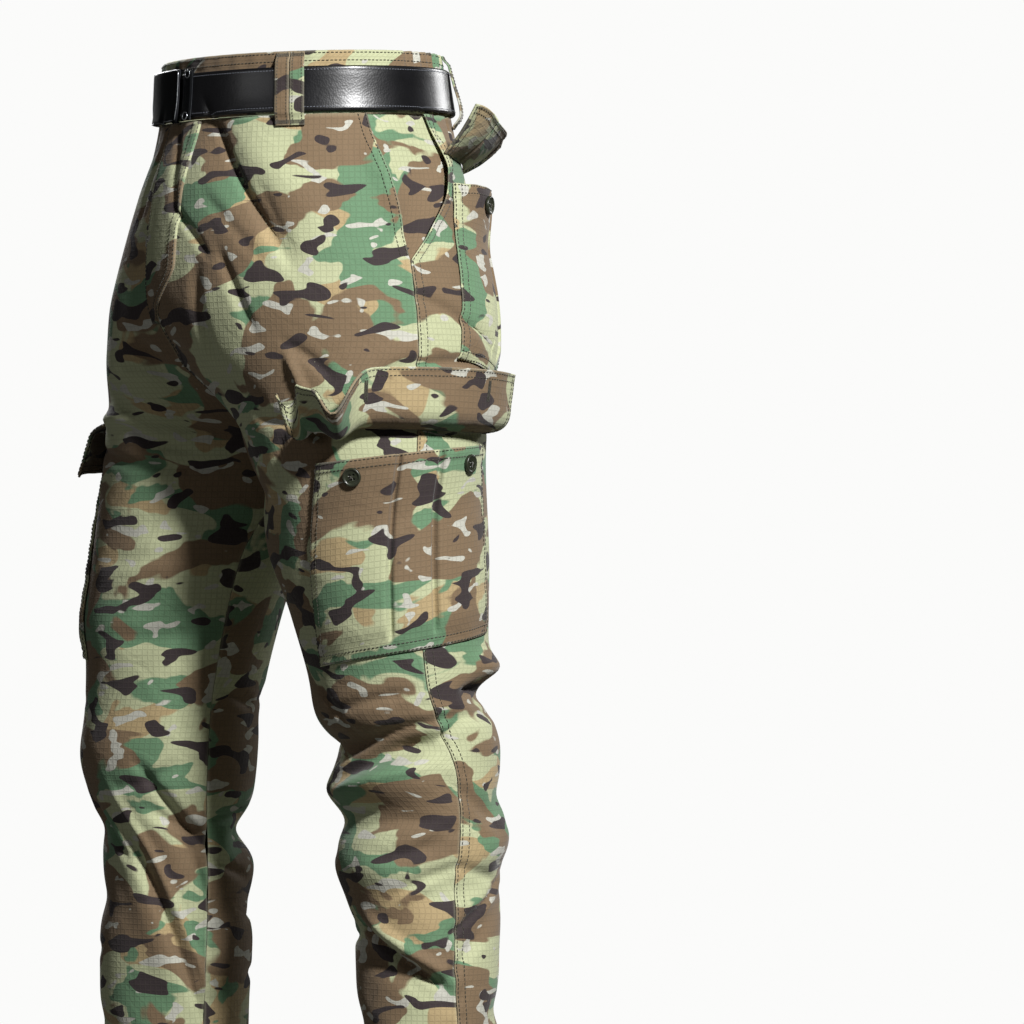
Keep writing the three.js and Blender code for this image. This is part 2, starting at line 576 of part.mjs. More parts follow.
for (const half of ['left', 'right']) {
  // Back pocket with one pleat pair, its flap and its button
  const backCols = [0, 0.06, 0.16, 0.3, 0.42, 0.475, 0.5, 0.525, 0.6, 0.655, 0.68, 0.705, 0.8, 0.9, 1];
  const backRows = [0, 0.07, 0.18, 0.34, 0.55, 0.78, 0.92, 1];
  group.add(sheet(`back_pocket_${half}`, CLOTH, backCols, backRows, (u, v, face) => {
    const q = pocketPlace(BACK_POCKET, u, v);
    return lift(half, q.deg, q.z, pocketRise(u, v, BACK_BELLY, BACK_GAPE, BACK_PLEATS) + (face ? 0 : WALL));
  }));
  button(`back_button_${half}`, half, BACK_POCKET, BACK_BUTTON, BACK_BELLY, BACK_GAPE, BACK_PLEATS);
  flap(`back_flap_${half}`, half, BACK_FLAP, 0, 1.4);

  // Cargo pocket with two pleats, its flap and its two buttons
  const cargoCols = [0, 0.04, 0.12, 0.21, 0.3, 0.36, 0.39, 0.41, 0.43, 0.515, 0.6, 0.62, 0.64, 0.71, 0.79, 0.9, 1];
  const cargoRows = [0, 0.06, 0.16, 0.32, 0.52, 0.74, 0.9, 1];
  group.add(sheet(`cargo_pocket_${half}`, CLOTH, cargoCols, cargoRows, (u, v, face) => {
    const q = pocketPlace(CARGO, u, v);
    return lift(half, q.deg, q.z, pocketRise(u, v, CARGO_BELLY, CARGO_GAPE[half], PLEATS) + (face ? 0 : WALL));
  }));
  CARGO_BUTTONS.forEach((at, k) => {
    button(`cargo_button_${half}_${k ? 'b' : 'a'}`, half, CARGO, at, CARGO_BELLY, CARGO_GAPE[half], PLEATS);
  });
  if (half === 'left') flap('cargo_flap_left', half, RAISED_FLAP, FLAP_DROOP, 2.0);
  else flap('cargo_flap_right', half, HUNG_FLAP, 0, 2.0);

  // Turned-up hem inside the end of the leg, on the same columns as the panels
  group.add(sheet(`hem_${half}`, CLOTH, steps(0, 2 * PANEL_COLUMNS + 1, 2 * PANEL_COLUMNS + 1), HEM_ROWS, (k, z, face) => {
    const front = k <= PANEL_COLUMNS;
    const u = (front ? k : k - PANEL_COLUMNS - 1) / PANEL_COLUMNS;
    return lift(half, front ? frontDegrees(u, z) : backDegrees(u, z), z, -WALL - SEAM_GAP - (face ? WALL : 0));
  }, true));
}

export default group;
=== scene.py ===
"""Cargo trousers in their worn, hollow form: printed ripstop cloth, its sewing, buttons and leather belt.

Every piece is a finer surface on the form of its solid in the frame. Shapes are worked out in millimetres,
with the front towards -Y, the garment's left side at +X and the waist's upper edge at Z 0, and become metres
in the mesh.
"""
import math

import bpy
import numpy as np
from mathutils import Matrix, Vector


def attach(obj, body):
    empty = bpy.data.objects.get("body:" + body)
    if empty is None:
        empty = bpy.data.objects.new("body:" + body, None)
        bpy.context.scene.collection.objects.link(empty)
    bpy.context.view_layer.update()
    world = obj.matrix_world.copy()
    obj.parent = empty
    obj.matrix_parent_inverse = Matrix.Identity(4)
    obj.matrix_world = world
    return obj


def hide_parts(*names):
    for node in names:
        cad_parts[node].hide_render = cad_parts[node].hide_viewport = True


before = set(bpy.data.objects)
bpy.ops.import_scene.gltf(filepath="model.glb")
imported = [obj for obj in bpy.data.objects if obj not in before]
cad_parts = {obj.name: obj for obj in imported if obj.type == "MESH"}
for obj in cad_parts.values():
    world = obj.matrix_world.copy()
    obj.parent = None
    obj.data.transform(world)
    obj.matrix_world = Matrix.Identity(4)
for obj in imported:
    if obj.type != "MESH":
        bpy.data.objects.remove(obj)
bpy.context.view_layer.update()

# View, floor and light
# The garment is seen level, from its front left and from a long way off, before a plain pale ground. The key
# lamp stands on the right, above the waist; a weak one lifts the shadows, two more light the side and the back.
MM = 0.001
VIEW_TURN = math.radians(64)
TOWARDS_EYE = Vector((math.sin(VIEW_TURN), -math.cos(VIEW_TURN), 0))
TO_THE_RIGHT = Vector((math.cos(VIEW_TURN), math.sin(VIEW_TURN), 0))
EYE_REACH = 4.5
EYE_HEIGHT = Vector((0, 0, -0.366))
AIM_ASIDE = 0.1695
FLOOR_Z = -1.004
FLOOR_RADIUS = 2.2


def hex_colour(code):
    """sRGB hex colour as linear RGBA: c / 12.92 up to 0.04045, and ((c + 0.055) / 1.055) ** 2.4 above it."""
    c = np.array([int(code[k:k + 2], 16) for k in (0, 2, 4)]) / 255
    linear = np.where(c <= 0.04045, c / 12.92, ((c + 0.055) / 1.055) ** 2.4)
    return (*linear.tolist(), 1.0)


def add_node(tree, kind, inputs=(), **settings):
    """Adds one shader node: inputs are its sockets, each a value or an output; settings are its properties."""
    made = tree.nodes.new("ShaderNode" + kind)
    for key, value in settings.items():
        setattr(made, key, value)
    for key, value in dict(inputs).items():
        if isinstance(value, bpy.types.NodeSocket):
            tree.links.new(value, made.inputs[key])
        else:
            made.inputs[key].default_value = value
    return made


def new_material(name):
    """An empty material: its tree, and its output node."""
    material = bpy.data.materials.new(name)
    material.use_nodes = True
    tree = material.node_tree
    tree.nodes.clear()
    return material, tree, tree.nodes.new("ShaderNodeOutputMaterial")


def two_tones(tree, mask, dark, light):
    """A finish's two colours, mixed by a mask."""
    return add_node(tree, "Mix", {0: mask, 6: hex_colour(dark), 7: hex_colour(light)},
                    data_type="RGBA").outputs[2]


def smooth(t):
    """3 t^2 - 2 t^3 with t held between 0 and 1."""
    c = np.clip(t, 0, 1)
    return c * c * (3 - 2 * c)


def soft_lamp(name, aside, towards, height, size, watts):
    """A square area lamp, placed from the waist by metres to the view's right, towards the eye and up."""
    lamp = bpy.data.lights.new(name, "AREA")
    lamp.shape, lamp.size, lamp.energy = "SQUARE", size, watts
    holder = bpy.data.objects.new(name, lamp)
    holder.location = TO_THE_RIGHT * aside + TOWARDS_EYE * towards + Vector((0, 0, height))
    aim = Vector((0, 0, -0.45)) - holder.location
    holder.rotation_euler = aim.to_track_quat("-Z", "Y").to_euler()
    bpy.context.scene.collection.objects.link(holder)


eye = bpy.data.cameras.new("photo_view")
eye.lens, eye.sensor_width, eye.clip_end = 194.6, 36, 60
camera = bpy.data.objects.new("photo_view", eye)
camera.location = TOWARDS_EYE * EYE_REACH + EYE_HEIGHT
looks_along = TO_THE_RIGHT * AIM_ASIDE + EYE_HEIGHT - camera.location
camera.rotation_euler = looks_along.to_track_quat("-Z", "Y").to_euler()
bpy.context.scene.collection.objects.link(camera)
bpy.context.scene.camera = camera

soft_lamp("key_lamp", 1.4, 2.6, 1.6, 0.35, 235)
soft_lamp("fill_lamp", -2.2, 1.6, 0.2, 1.2, 5)
soft_lamp("edge_lamp", 1.6, -1.5, 0.6, 0.7, 14)
soft_lamp("back_lamp", -0.6, -3.0, 1.2, 1.4, 90)
bpy.context.scene.view_settings.view_transform = "Standard"

world = bpy.data.worlds.new("pale_room")
world.use_nodes = True
world.node_tree.nodes.clear()
room = add_node(world.node_tree, "Background", {"Color": hex_colour("ffffff"), "Strength": 0.03})
seen = add_node(world.node_tree, "Background", {"Color": hex_colour("fbfbfa"), "Strength": 1.0})
path = add_node(world.node_tree, "LightPath")
either = add_node(world.node_tree, "MixShader", {0: path.outputs["Is Camera Ray"], 1: room.outputs[0],
                                                 2: seen.outputs[0]})
add_node(world.node_tree, "OutputWorld", {"Surface": either.outputs[0]})
bpy.context.scene.world = world

# Matt white paint on a smooth floor, with a faint unevenness of the roller; it throws little light back up
floor_paint, tree, out = new_material("matt_white_floor_paint")
where = add_node(tree, "TexCoord")
mottle = add_node(tree, "TexNoise", {"Vector": where.outputs["Object"], "Scale": 2.0, "Detail": 3.0})
tone = two_tones(tree, mottle.outputs["Fac"], "f4f4f2", "fafaf8")
paint = add_node(tree, "BsdfPrincipled", {"Base Color": tone, "Roughness": 0.85})
flagged = add_node(tree, "BsdfDiffuse", {"Color": hex_colour("585856")})
path = add_node(tree, "LightPath")
either = add_node(tree, "MixShader", {0: path.outputs["Is Camera Ray"], 1: flagged.outputs[0],
                                      2: paint.outputs[0]})
tree.links.new(either.outputs[0], out.inputs["Surface"])
turns = np.linspace(0, 2 * np.pi, 97)[:-1]
ring = np.stack([FLOOR_RADIUS * np.cos(turns), FLOOR_RADIUS * np.sin(turns), np.full(96, FLOOR_Z)], axis=1)
disc = bpy.data.meshes.new("floor")
disc.from_pydata(ring.tolist(), [], [list(range(96))])
disc.materials.append(floor_paint)
floor = bpy.data.objects.new("floor", disc)
bpy.context.scene.collection.objects.link(floor)

# Front and back panels
# Four cut pieces of printed ripstop poplin, 0.4 mm apart at their seams, which are felled and sewn with two
# rows. They follow rings round each half of the body, shaped by the stride, the big folds and smaller creases.
RING_COLUMNS = ("z", "out", "inner", "gate_front", "gate_back", "front", "back")
RINGS = dict(zip(RING_COLUMNS, np.array([
    (0, 131, 0, 0, 0, 110, 106), (-50, 137, 0, 0, 0, 114, 115), (-110, 156, 0, .02, .04, 130, 125),
    (-190, 172, 0, .13, .18, 136, 133), (-235, 176, 0, .34, .40, 125, 125), (-270, 179, 0, .70, .72, 109, 108),
    (-300, 181, 0, 1, 1, 100, 98), (-335, 184, 6, 1, 1, 94, 92), (-400, 188, 20, 1, 1, 87, 87),
    (-450, 190, 32, 1, 1, 81, 80), (-520, 191, 47, 1, 1, 74, 72), (-580, 194, 57, 1, 1, 71, 70),
    (-640, 196, 70, 1, 1, 64, 64), (-700, 200, 78, 1, 1, 62, 63), (-780, 206, 88, 1, 1, 60, 61),
    (-1000, 222, 98, 1, 1, 62, 62),
], dtype=float).T))
STRIDE_COLUMNS = ("z", "left", "right", "left_gain", "right_gain")
STRIDE = dict(zip(STRIDE_COLUMNS, np.array([
    (0, 0, 0, 0, 0), (-120, 0, 0, 0, 0), (-300, 12, -28, 0, 0), (-400, 18, -46, 0, 0), (-450, 23, -54, -2, 0),
    (-520, 31, -60, -6, 0), (-560, 39, -60, -7, 0), (-600, 42, -58, -4, -1), (-650, 41, -52, -1, -3),
    (-720, 40, -49, -6, 2), (-780, 42, -48, -8, 2), (-1000, 46, -44, -2, 0),
], dtype=float).T))
SEAM_COLUMNS = ("z", "deg")
SIDE_SEAM = dict(zip(SEAM_COLUMNS, np.array([
    (0, 184), (-168, 184), (-250, 183), (-350, 176), (-500, 169), (-540, 175), (-590, 180), (-680, 176),
    (-780, 172), (-1000, 174),
], dtype=float).T))
MOUTH_COLUMNS = ("z", "front", "back")
MOUTH = dict(zip(MOUTH_COLUMNS, np.array([
    (-50, 175, 203), (-75, 177, 208), (-97, 179.5, 209), (-130, 182, 200), (-168, 184, 184),
], dtype=float).T))
# Big folds: degrees round the half ring and height at both ends, half width, and depth (+ out, - in)
FOLDS = {
    "left": [
        (113, -58, 142, -158, 13, -5), (128, -62, 152, -130, 16, 3), (176, -75, 183, -135, 14, 6),
        (213, -75, 203, -130, 14, 4), (60, -212, 112, -300, 16, -3), (25, -330, 96, -372, 15, -5),
        (30, -360, 90, -430, 17, 3), (255, -282, 335, -306, 14, -7), (260, -350, 335, -330, 16, -4),
        (212, -488, 270, -490, 11, 10), (205, -513, 280, -508, 12, -10), (200, -545, 290, -548, 20, 4),
        (40, -528, 130, -520, 22, 4), (50, -553, 172, -545, 12, -10), (40, -590, 150, -575, 13, 9),
        (205, -600, 300, -576, 14, -5), (190, -632, 290, -618, 20, 5), (55, -612, 150, -600, 9, -5),
        (45, -648, 140, -642, 22, 8), (140, -668, 245, -648, 13, -5), (176, -705, 245, -668, 12, -4),
        (58, -694, 160, -742, 13, -7), (60, -740, 140, -790, 18, 4), (200, -770, 300, -745, 16, -5),
        (60, -868, 200, -846, 16, -5), (180, -915, 330, -890, 16, -5), (30, -938, 150, -952, 14, -4),
    ],
    "right": [
        (112, -60, 136, -150, 14, -4), (176, -75, 183, -135, 14, 6), (213, -75, 203, -130, 14, 4),
        (62, -220, 118, -290, 16, -3), (20, -340, 80, -398, 16, -4), (255, -284, 335, -304, 14, -7),
        (250, -362, 330, -335, 16, -4), (60, -470, 120, -450, 24, 3), (210, -515, 290, -530, 13, -6),
        (60, -560, 150, -572, 26, 5), (40, -598, 4, -650, 13, -6), (262, -622, 330, -634, 17, -12),
        (85, -632, 160, -616, 14, -5), (76, -622, 20, -760, 15, 4), (200, -640, 300, -660, 16, 5),
        (90, -690, 180, -672, 15, -4), (200, -715, 310, -690, 14, -5), (60, -800, 170, -778, 15, -4),
        (190, -850, 320, -828, 16, -5), (40, -905, 160, -888, 15, -5), (200, -955, 330, -940, 14, -4),
    ],
}
# Smaller creases, the same way, with a bow of their middle
CREASES = {
    "left": [
        (113, -52, 141, -162, 4.5, -3.6, 2), (136, -110, 146, -168, 6, -1.2, -3),
        (94, -52, 101, -124, 5, -2.2, 3), (101, -124, 114, -160, 4, -2.5, 2),
        (114, -114, 133, -166, 6, -1.3, 2), (119, -160, 124, -220, 6, -2.6, 3),
        (109, -172, 98, -244, 7, -2.2, 2), (135, -234, 146, -260, 6, -2.2, 2),
        (129, -278, 133, -296, 4, -3.0, 1), (133, -246, 130, -284, 4, 4.0, 1),
        (100, -292, 137, -308, 6, -3.0, 3), (56, -302, 67, -352, 4, -2.6, 2),
        (113, -304, 92, -358, 4, -2.2, -1), (170, -254, 210, -248, 6, -3.0, 2),
        (186, -198, 223, -236, 6, -2.0, 3), (96, -526, 156, -508, 5, -2.0, 2),
        (85, -560, 172, -530, 5, -3.5, 4), (81, -580, 166, -548, 8, -6.0, 4),
        (173, -544, 191, -532, 4, -2.5, 1), (94, -586, 154, -566, 6, 2.2, 2),
        (89, -604, 113, -600, 4, -2.0, 0), (91, -620, 156, -608, 6, -2.2, 3),
        (118, -636, 162, -626, 7, -2.4, -3), (133, -666, 182, -644, 6, -2.6, 3),
        (182, -646, 224, -658, 5, -2.0, 1), (134, -672, 159, -656, 6, 1.8, 1),
        (92, -692, 160, -736, 5, -5.0, -2), (105, -686, 166, -728, 7, 3.6, -2),
        (173, -696, 242, -656, 4, -3.0, 2), (165, -734, 201, -700, 6, -2.0, 2),
        (176, -528, 243, -526, 5, -2.2, 0), (196, -508, 236, -500, 5, -4.0, 0),
        (173, -582, 219, -616, 9, -1.8, 2), (91, -504, 108, -538, 5, -1.8, 2),
        (200, -52, 198, -78, 3, -1.2, 0), (211, -52, 210, -70, 3, -1.4, 0),
        (223, -52, 225, -84, 3.5, -1.6, 1), (236, -52, 234, -72, 3, -1.2, 0),
        (262, -62, 250, -110, 4, -1.6, 1), (300, -70, 286, -130, 4, -1.6, 1),
        (250, -300, 336, -310, 5, -3.2, 3), (262, -336, 330, -352, 5, -2.4, 3),
        (250, -516, 320, -530, 5, -2.8, 4), (262, -560, 340, -572, 5, -2.4, -3),
        (250, -612, 330, -598, 6, -2.6, 3), (256, -668, 332, -690, 5, -2.4, -3),
        (20, -545, 70, -556, 6, -2.6, 2), (16, -620, 62, -634, 5, -2.4, -2),
        (250, -742, 330, -756, 6, -2.4, 3), (12, -720, 64, -700, 6, -2.2, 2),
        (70, -800, 168, -812, 6, -2.4, 3), (190, -830, 300, -812, 6, -2.4, -3),
        (20, -868, 120, -880, 6, -2.2, 3), (150, -905, 250, -918, 6, -2.4, 3),
        (60, -956, 170, -948, 5, -2.0, 2),
    ],
    "right": [
        (93, -272, 44, -296, 6, -3.4, 5), (114, -288, 53, -284, 7, 3.2, 4),
        (75, -300, 48, -316, 4, -2.6, 2), (112, -316, 40, -330, 5, -3.0, 3),
        (86, -230, 57, -270, 6, -3.0, 2), (101, -248, 68, -258, 6, 2.2, 2),
        (64, -592, 25, -574, 6, -2.0, 3), (46, -574, 0, -640, 6, -3.4, 3), (97, -606, 63, -650, 6, -3.0, 2),
        (66, -602, 0, -754, 5, 2.8, -4), (64, -632, 7, -766, 6, -3.8, -4), (42, -610, 0, -630, 6, -2.4, 2),
        (9, -652, 0, -682, 5, -2.0, 1), (353, -618, 315, -612, 5, -3.0, 0),
        (355, -650, 316, -666, 6, -2.2, 1), (350, -510, 323, -524, 6, -2.0, 1),
        (71, -468, 15, -462, 9, -1.2, 3), (86, -404, 24, -400, 9, -1.0, 2),
        (112, -56, 138, -158, 5, -2.6, 2), (94, -52, 100, -124, 5, -2.0, 3),
        (120, -520, 190, -508, 5, -2.2, 3), (150, -548, 235, -560, 6, -3.2, 4),
        (205, -500, 292, -512, 5, -3.0, 4), (214, -536, 300, -520, 5, -2.8, -3),
        (190, -592, 282, -604, 6, -3.0, 4), (120, -604, 182, -596, 5, -2.2, 2),
        (130, -664, 212, -650, 6, -2.4, 3), (218, -672, 306, -700, 5, -2.6, -3),
        (112, -728, 176, -742, 6, -2.4, 2), (186, -770, 300, -748, 6, -2.6, 3),
        (120, -840, 206, -852, 6, -2.2, -2), (210, -880, 318, -866, 6, -2.4, 3),
        (60, -930, 150, -944, 6, -2.2, 2), (250, -300, 338, -312, 5, -3.2, 3),
        (236, -330, 320, -352, 5, -2.4, 3), (198, -52, 200, -76, 3, -1.2, 0),
        (210, -52, 212, -72, 3, -1.4, 0), (225, -52, 222, -82, 3.5, -1.6, 1),
        (262, -62, 250, -110, 4, -1.6, 1), (300, -70, 286, -130, 4, -1.6, 1),
        (330, -180, 300, -230, 6, -1.8, 2),
    ],
}
CREASE_DEPTH = 1.6
CROTCH_Z, HEM_Z, BAND_Z, MOUTH_BOTTOM_Z = -300, -1000, -50.4, -168
SEAM_GAP, PANEL_WALL, EDGE_FADE = 0.4, 0.9, 2.5
OUTWARD_TURN = {"left": -1, "right": 1}
FELL_WIDTH, FELL_RISE = 9.0, 0.55
ROW_NEAR, ROW_FAR = 1.8, 8.0


def read(table, key, z):
    """Cubic Hermite curve through a table's column; each slope is the neighbours' rise over their run."""
    heights, values = table["z"][::-1], table[key][::-1]
    place = np.arange(len(heights))
    low, high = np.maximum(place - 1, 0), np.minimum(place + 1, len(heights) - 1)
    slope = (values[high] - values[low]) / (heights[high] - heights[low])
    at = np.clip(z, heights[0], heights[-1])
    i = np.clip(np.searchsorted(heights, at, side="right") - 1, 0, len(heights) - 2)
    span = heights[i + 1] - heights[i]
    t = (at - heights[i]) / span
    start = (2 * t ** 3 - 3 * t ** 2 + 1) * values[i] + (t ** 3 - 2 * t ** 2 + t) * span * slope[i]
    end = (3 * t ** 2 - 2 * t ** 3) * values[i + 1] + (t ** 3 - t ** 2) * span * slope[i + 1]
    return start + end


def per_degree(z):
    """Millimetres that one degree measures round the half ring: 1.4 at the legs, 2.5 at the waist."""
    return 1.4 + 1.1 * smooth((z + 340) / 160)


def relief(half, deg, z):
    """Folds and creases: depth * exp(-(distance / width)^2), faded at both ends; a crease has a small swell
    beside it, from the factor 1 - 0.5 (distance / width)^2, and its line is bowed by 4 t (1 - t)."""
    k = per_degree(z)
    total = np.zeros(np.broadcast(deg, z).shape)
    for row in FOLDS[half] + CREASES[half]:
        deg_a, z_a, deg_b, z_b, wide, deep = row[:6]
        along, down = (deg_b - deg_a) * k, z_b - z_a
        px, pz = (deg - deg_a) * k, z - z_a
        length = along * along + down * down
        t = (px * along + pz * down) / length
        aside = (pz * along - px * down) / np.sqrt(length)
        if len(row) > 6:
            aside = aside - row[6] * 4 * np.clip(t, 0, 1) * (1 - np.clip(t, 0, 1))
        away = aside / wide
        ends = smooth((t + 0.25) / 0.5) * smooth((1.25 - t) / 0.5)
        swell = 1 - 0.5 * away * away if len(row) > 6 else 1
        total = total + deep * (CREASE_DEPTH if len(row) > 6 else 1) * swell * np.exp(-away * away) * ends
    return total


def ring_at(half, z, front):
    """Ring half axes and middle at a height: above the crotch both halves share a ring, closed by the gate."""
    name = "front" if front else "back"
    depth = read(RINGS, name, z) + read(STRIDE, half + "_gain", z)
    gate = np.clip(read(RINGS, "gate_" + name, z), 0, 1)
    outer, inner = read(RINGS, "out", z), np.maximum(0, read(RINGS, "inner", z))
    above = z > CROTCH_Z
    across = np.where(above, outer / (1 + gate), (outer - inner) / 2)
    middle = np.where(above, gate * across, (outer + inner) / 2)
    return across, middle, depth, gate


def skin(half, deg, z):
    """Outer face of the cloth on the +X side: an ellipse per height, pushed out by the relief along its normal
    and shifted by the stride; near the waist it is tilted a little, higher behind."""
    deg, z = np.broadcast_arrays(np.asarray(deg, float), np.asarray(z, float))
    sine, cosine = np.sin(np.radians(deg)), np.cos(np.radians(deg))
    front, back = ring_at(half, z, True), ring_at(half, z, False)
    across, middle, depth = (np.where(sine >= 0, f, b) for f, b in zip(front[:3], back[:3]))
    rise = relief(half, deg, z)
    nx, ny = -cosine / across, -sine / depth
    size = np.hypot(nx, ny)
    x = middle - across * cosine + nx / size * rise
    y = -depth * sine + ny / size * rise
    free = 1 - (1 - smooth(np.abs(x) / 70)) * (1 - smooth((CROTCH_Z - z) / 110))
    y = y + read(STRIDE, half, z) * free
    return np.stack([x, y, z + 0.027 * y * smooth((z + 250) / 190)], axis=-1)


def unit(v):
    """Vectors divided by their lengths."""
    return v / np.maximum(np.linalg.norm(v, axis=-1, keepdims=True), 1e-9)


def outward(half, deg, z):
    """Unit normal of the skin: minus the cross product of its steps round and down."""
    round_step = skin(half, deg + 0.6, z) - skin(half, deg - 0.6, z)
    down_step = skin(half, deg, z - 1.5) - skin(half, deg, z + 1.5)
    return -unit(np.cross(round_step, down_step))


def lift(half, deg, z, out, inside=False):
    """A place on one half, moved out from the cloth's face; inside keeps it on its own side of the middle."""
    place = skin(half, deg, z) + outward(half, deg, z) * np.asarray(out, float)[..., None]
    if inside:
        place[..., 0] = np.maximum(place[..., 0], SEAM_GAP / 2)
    if half == "right":
        place[..., 0] = -place[..., 0]
    return place


def grid_normals(grid, turn, closed=False):
    """Unit normals of a grid of places: turn * cross(step across, step down)."""
    if closed:
        across = np.roll(grid, -1, axis=1) - np.roll(grid, 1, axis=1)
    else:
        across = np.gradient(grid, axis=1)
    return turn * unit(np.cross(across, np.gradient(grid, axis=0)))


def laid_flat(grid, shift, closed=False):
    """The cloth's flat cut, in metres: distance across from the middle column, and down the middle one. The
    shift moves the print, so that no two pieces repeat it."""
    if closed:
        grid = np.concatenate([grid, grid[:, :1]], axis=1)
    rows, columns = grid.shape[:2]
    across = np.linalg.norm(np.diff(grid, axis=1), axis=2)
    u = np.concatenate([np.zeros((rows, 1)), np.cumsum(across, axis=1)], axis=1)
    u = u - u[:, columns // 2:columns // 2 + 1]
    down = np.linalg.norm(np.diff(grid[:, columns // 2], axis=0), axis=1)
    v = np.concatenate([[0], np.cumsum(down)])
    flat = np.stack([u, np.repeat(-v[:, None], columns, axis=1)], axis=-1) * MM
    return flat + np.array(shift)


def put_mesh(name, places, faces, materials, kinds=None, flat=None, edge=None, rounded=True):
    """A mesh object on the root body, from places in millimetres and a list of faces, with its flat cut as a
    UV map and its edge value; rounded gives smooth shading."""
    mesh = bpy.data.meshes.new(name)
    mesh.from_pydata((places * MM).tolist(), [], faces)
    for material in materials:
        mesh.materials.append(material)
    if kinds is not None:
        mesh.polygons.foreach_set("material_index", kinds.astype(np.int32))
    if flat is not None:
        mesh.uv_layers.new(name="flat_cut").data.foreach_set("uv", flat.ravel())
    if edge is not None:
        mesh.attributes.new("edge", "FLOAT", "POINT").data.foreach_set("value", edge.ravel())
    mesh.polygons.foreach_set("use_smooth", np.full(len(faces), rounded))
    mesh.update()
    piece = bpy.data.objects.new(name, mesh)
    bpy.context.scene.collection.objects.link(piece)
    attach(piece, "root")
    return piece


def cloth_wall(name, grid, wall, turn, shift, closed=False, finishes=None):
    """Closed cloth wall on a grid of places: the outer face as given, the inner one moved in by the wall along
    the normals, and their borders joined. The edge value is 1 at the border and fades over 2.5 mm."""
    rows, columns = grid.shape[:2]
    normals = grid_normals(grid, turn, closed)
    count = rows * columns
    places = np.concatenate([grid.reshape(-1, 3), (grid - normals * wall).reshape(-1, 3)])
    last = columns if closed else columns - 1
    j, i = np.meshgrid(np.arange(rows - 1), np.arange(last), indexing="ij")
    corners = [(j, i), (j + 1, i), (j + 1, i + 1), (j, i + 1)]
    number = lambda face, at: face * count + at[0] * columns + at[1] % columns
    flat_at = lambda at: at[0] * (columns + 1 if closed else columns) + at[1]
    outer = np.stack([number(0, at) for at in corners], axis=-1).reshape(-1, 4)
    inner = np.stack([number(1, at) for at in corners[::-1]], axis=-1).reshape(-1, 4)
    outer_flat = np.stack([flat_at(at) for at in corners], axis=-1).reshape(-1, 4)
    inner_flat = outer_flat[:, ::-1]
    runs = [[(np.full(last, 0), np.arange(last)), (np.full(last, 0), np.arange(last) + 1)],
            [(np.full(last, rows - 1), np.arange(last) + 1), (np.full(last, rows - 1), np.arange(last))]]
    if not closed:
        side = np.arange(rows - 1)
        runs.append([(side + 1, np.zeros_like(side)), (side, np.zeros_like(side))])
        runs.append([(side, np.full_like(side, columns - 1)), (side + 1, np.full_like(side, columns - 1))])
    rims = [np.stack([number(0, a), number(0, b), number(1, b), number(1, a)], axis=-1) for a, b in runs]
    rim_flat = [np.stack([flat_at(a), flat_at(b), flat_at(b), flat_at(a)], axis=-1) for a, b in runs]
    faces = np.concatenate([outer, inner] + rims)
    flats = np.concatenate([outer_flat, inner_flat] + rim_flat)
    a, b, c = (places[faces[:, k]] for k in (0, 1, 2))
    if np.einsum("ij,ij->", a, np.cross(b, c)) < 0:
        faces, flats = faces[:, ::-1], flats[:, ::-1]
    kinds = np.zeros(len(faces))
    kinds[len(outer):len(outer) + len(inner)] = 1
    down = np.linalg.norm(np.diff(grid, axis=0), axis=2)
    down = np.concatenate([np.zeros((1, columns)), np.cumsum(down, axis=0)])
    near = np.minimum(down, down[-1:] - down)
    if not closed:
        across = np.linalg.norm(np.diff(grid, axis=1), axis=2)
        across = np.concatenate([np.zeros((rows, 1)), np.cumsum(across, axis=1)], axis=1)
        near = np.minimum(near, np.minimum(across, across[:, -1:] - across))
    edge = np.tile(1 - smooth(near / EDGE_FADE), (2, 1))
    flat = laid_flat(grid, shift, closed).reshape(-1, 2)[flats]
    return put_mesh(name, places, faces.tolist(), finishes or (cloth_face, cloth_reverse), kinds, flat, edge)


def inset(grid, turn, side, distance, closed=False):
    """The line that runs at a distance inside one border of a grid, and the normals on it: along each row or
    column the two places whose cumulated distance brackets the given one are mixed."""
    normals = grid_normals(grid, turn, closed)
    if side in ("top", "bottom"):
        grid, normals = grid.swapaxes(0, 1), normals.swapaxes(0, 1)
    if side in ("bottom", "end"):
        grid, normals = grid[:, ::-1], normals[:, ::-1]
    run = np.cumsum(np.linalg.norm(np.diff(grid, axis=1), axis=2), axis=1)
    run = np.concatenate([np.zeros((len(run), 1)), run], axis=1)
    k = np.clip((run < distance).sum(axis=1), 1, run.shape[1] - 1)
    row = np.arange(len(run))
    t = ((distance - run[row, k - 1]) / (run[row, k] - run[row, k - 1]))[:, None]
    line = grid[row, k - 1] * (1 - t) + grid[row, k] * t
    return line, unit(normals[row, k - 1] * (1 - t) + normals[row, k] * t)


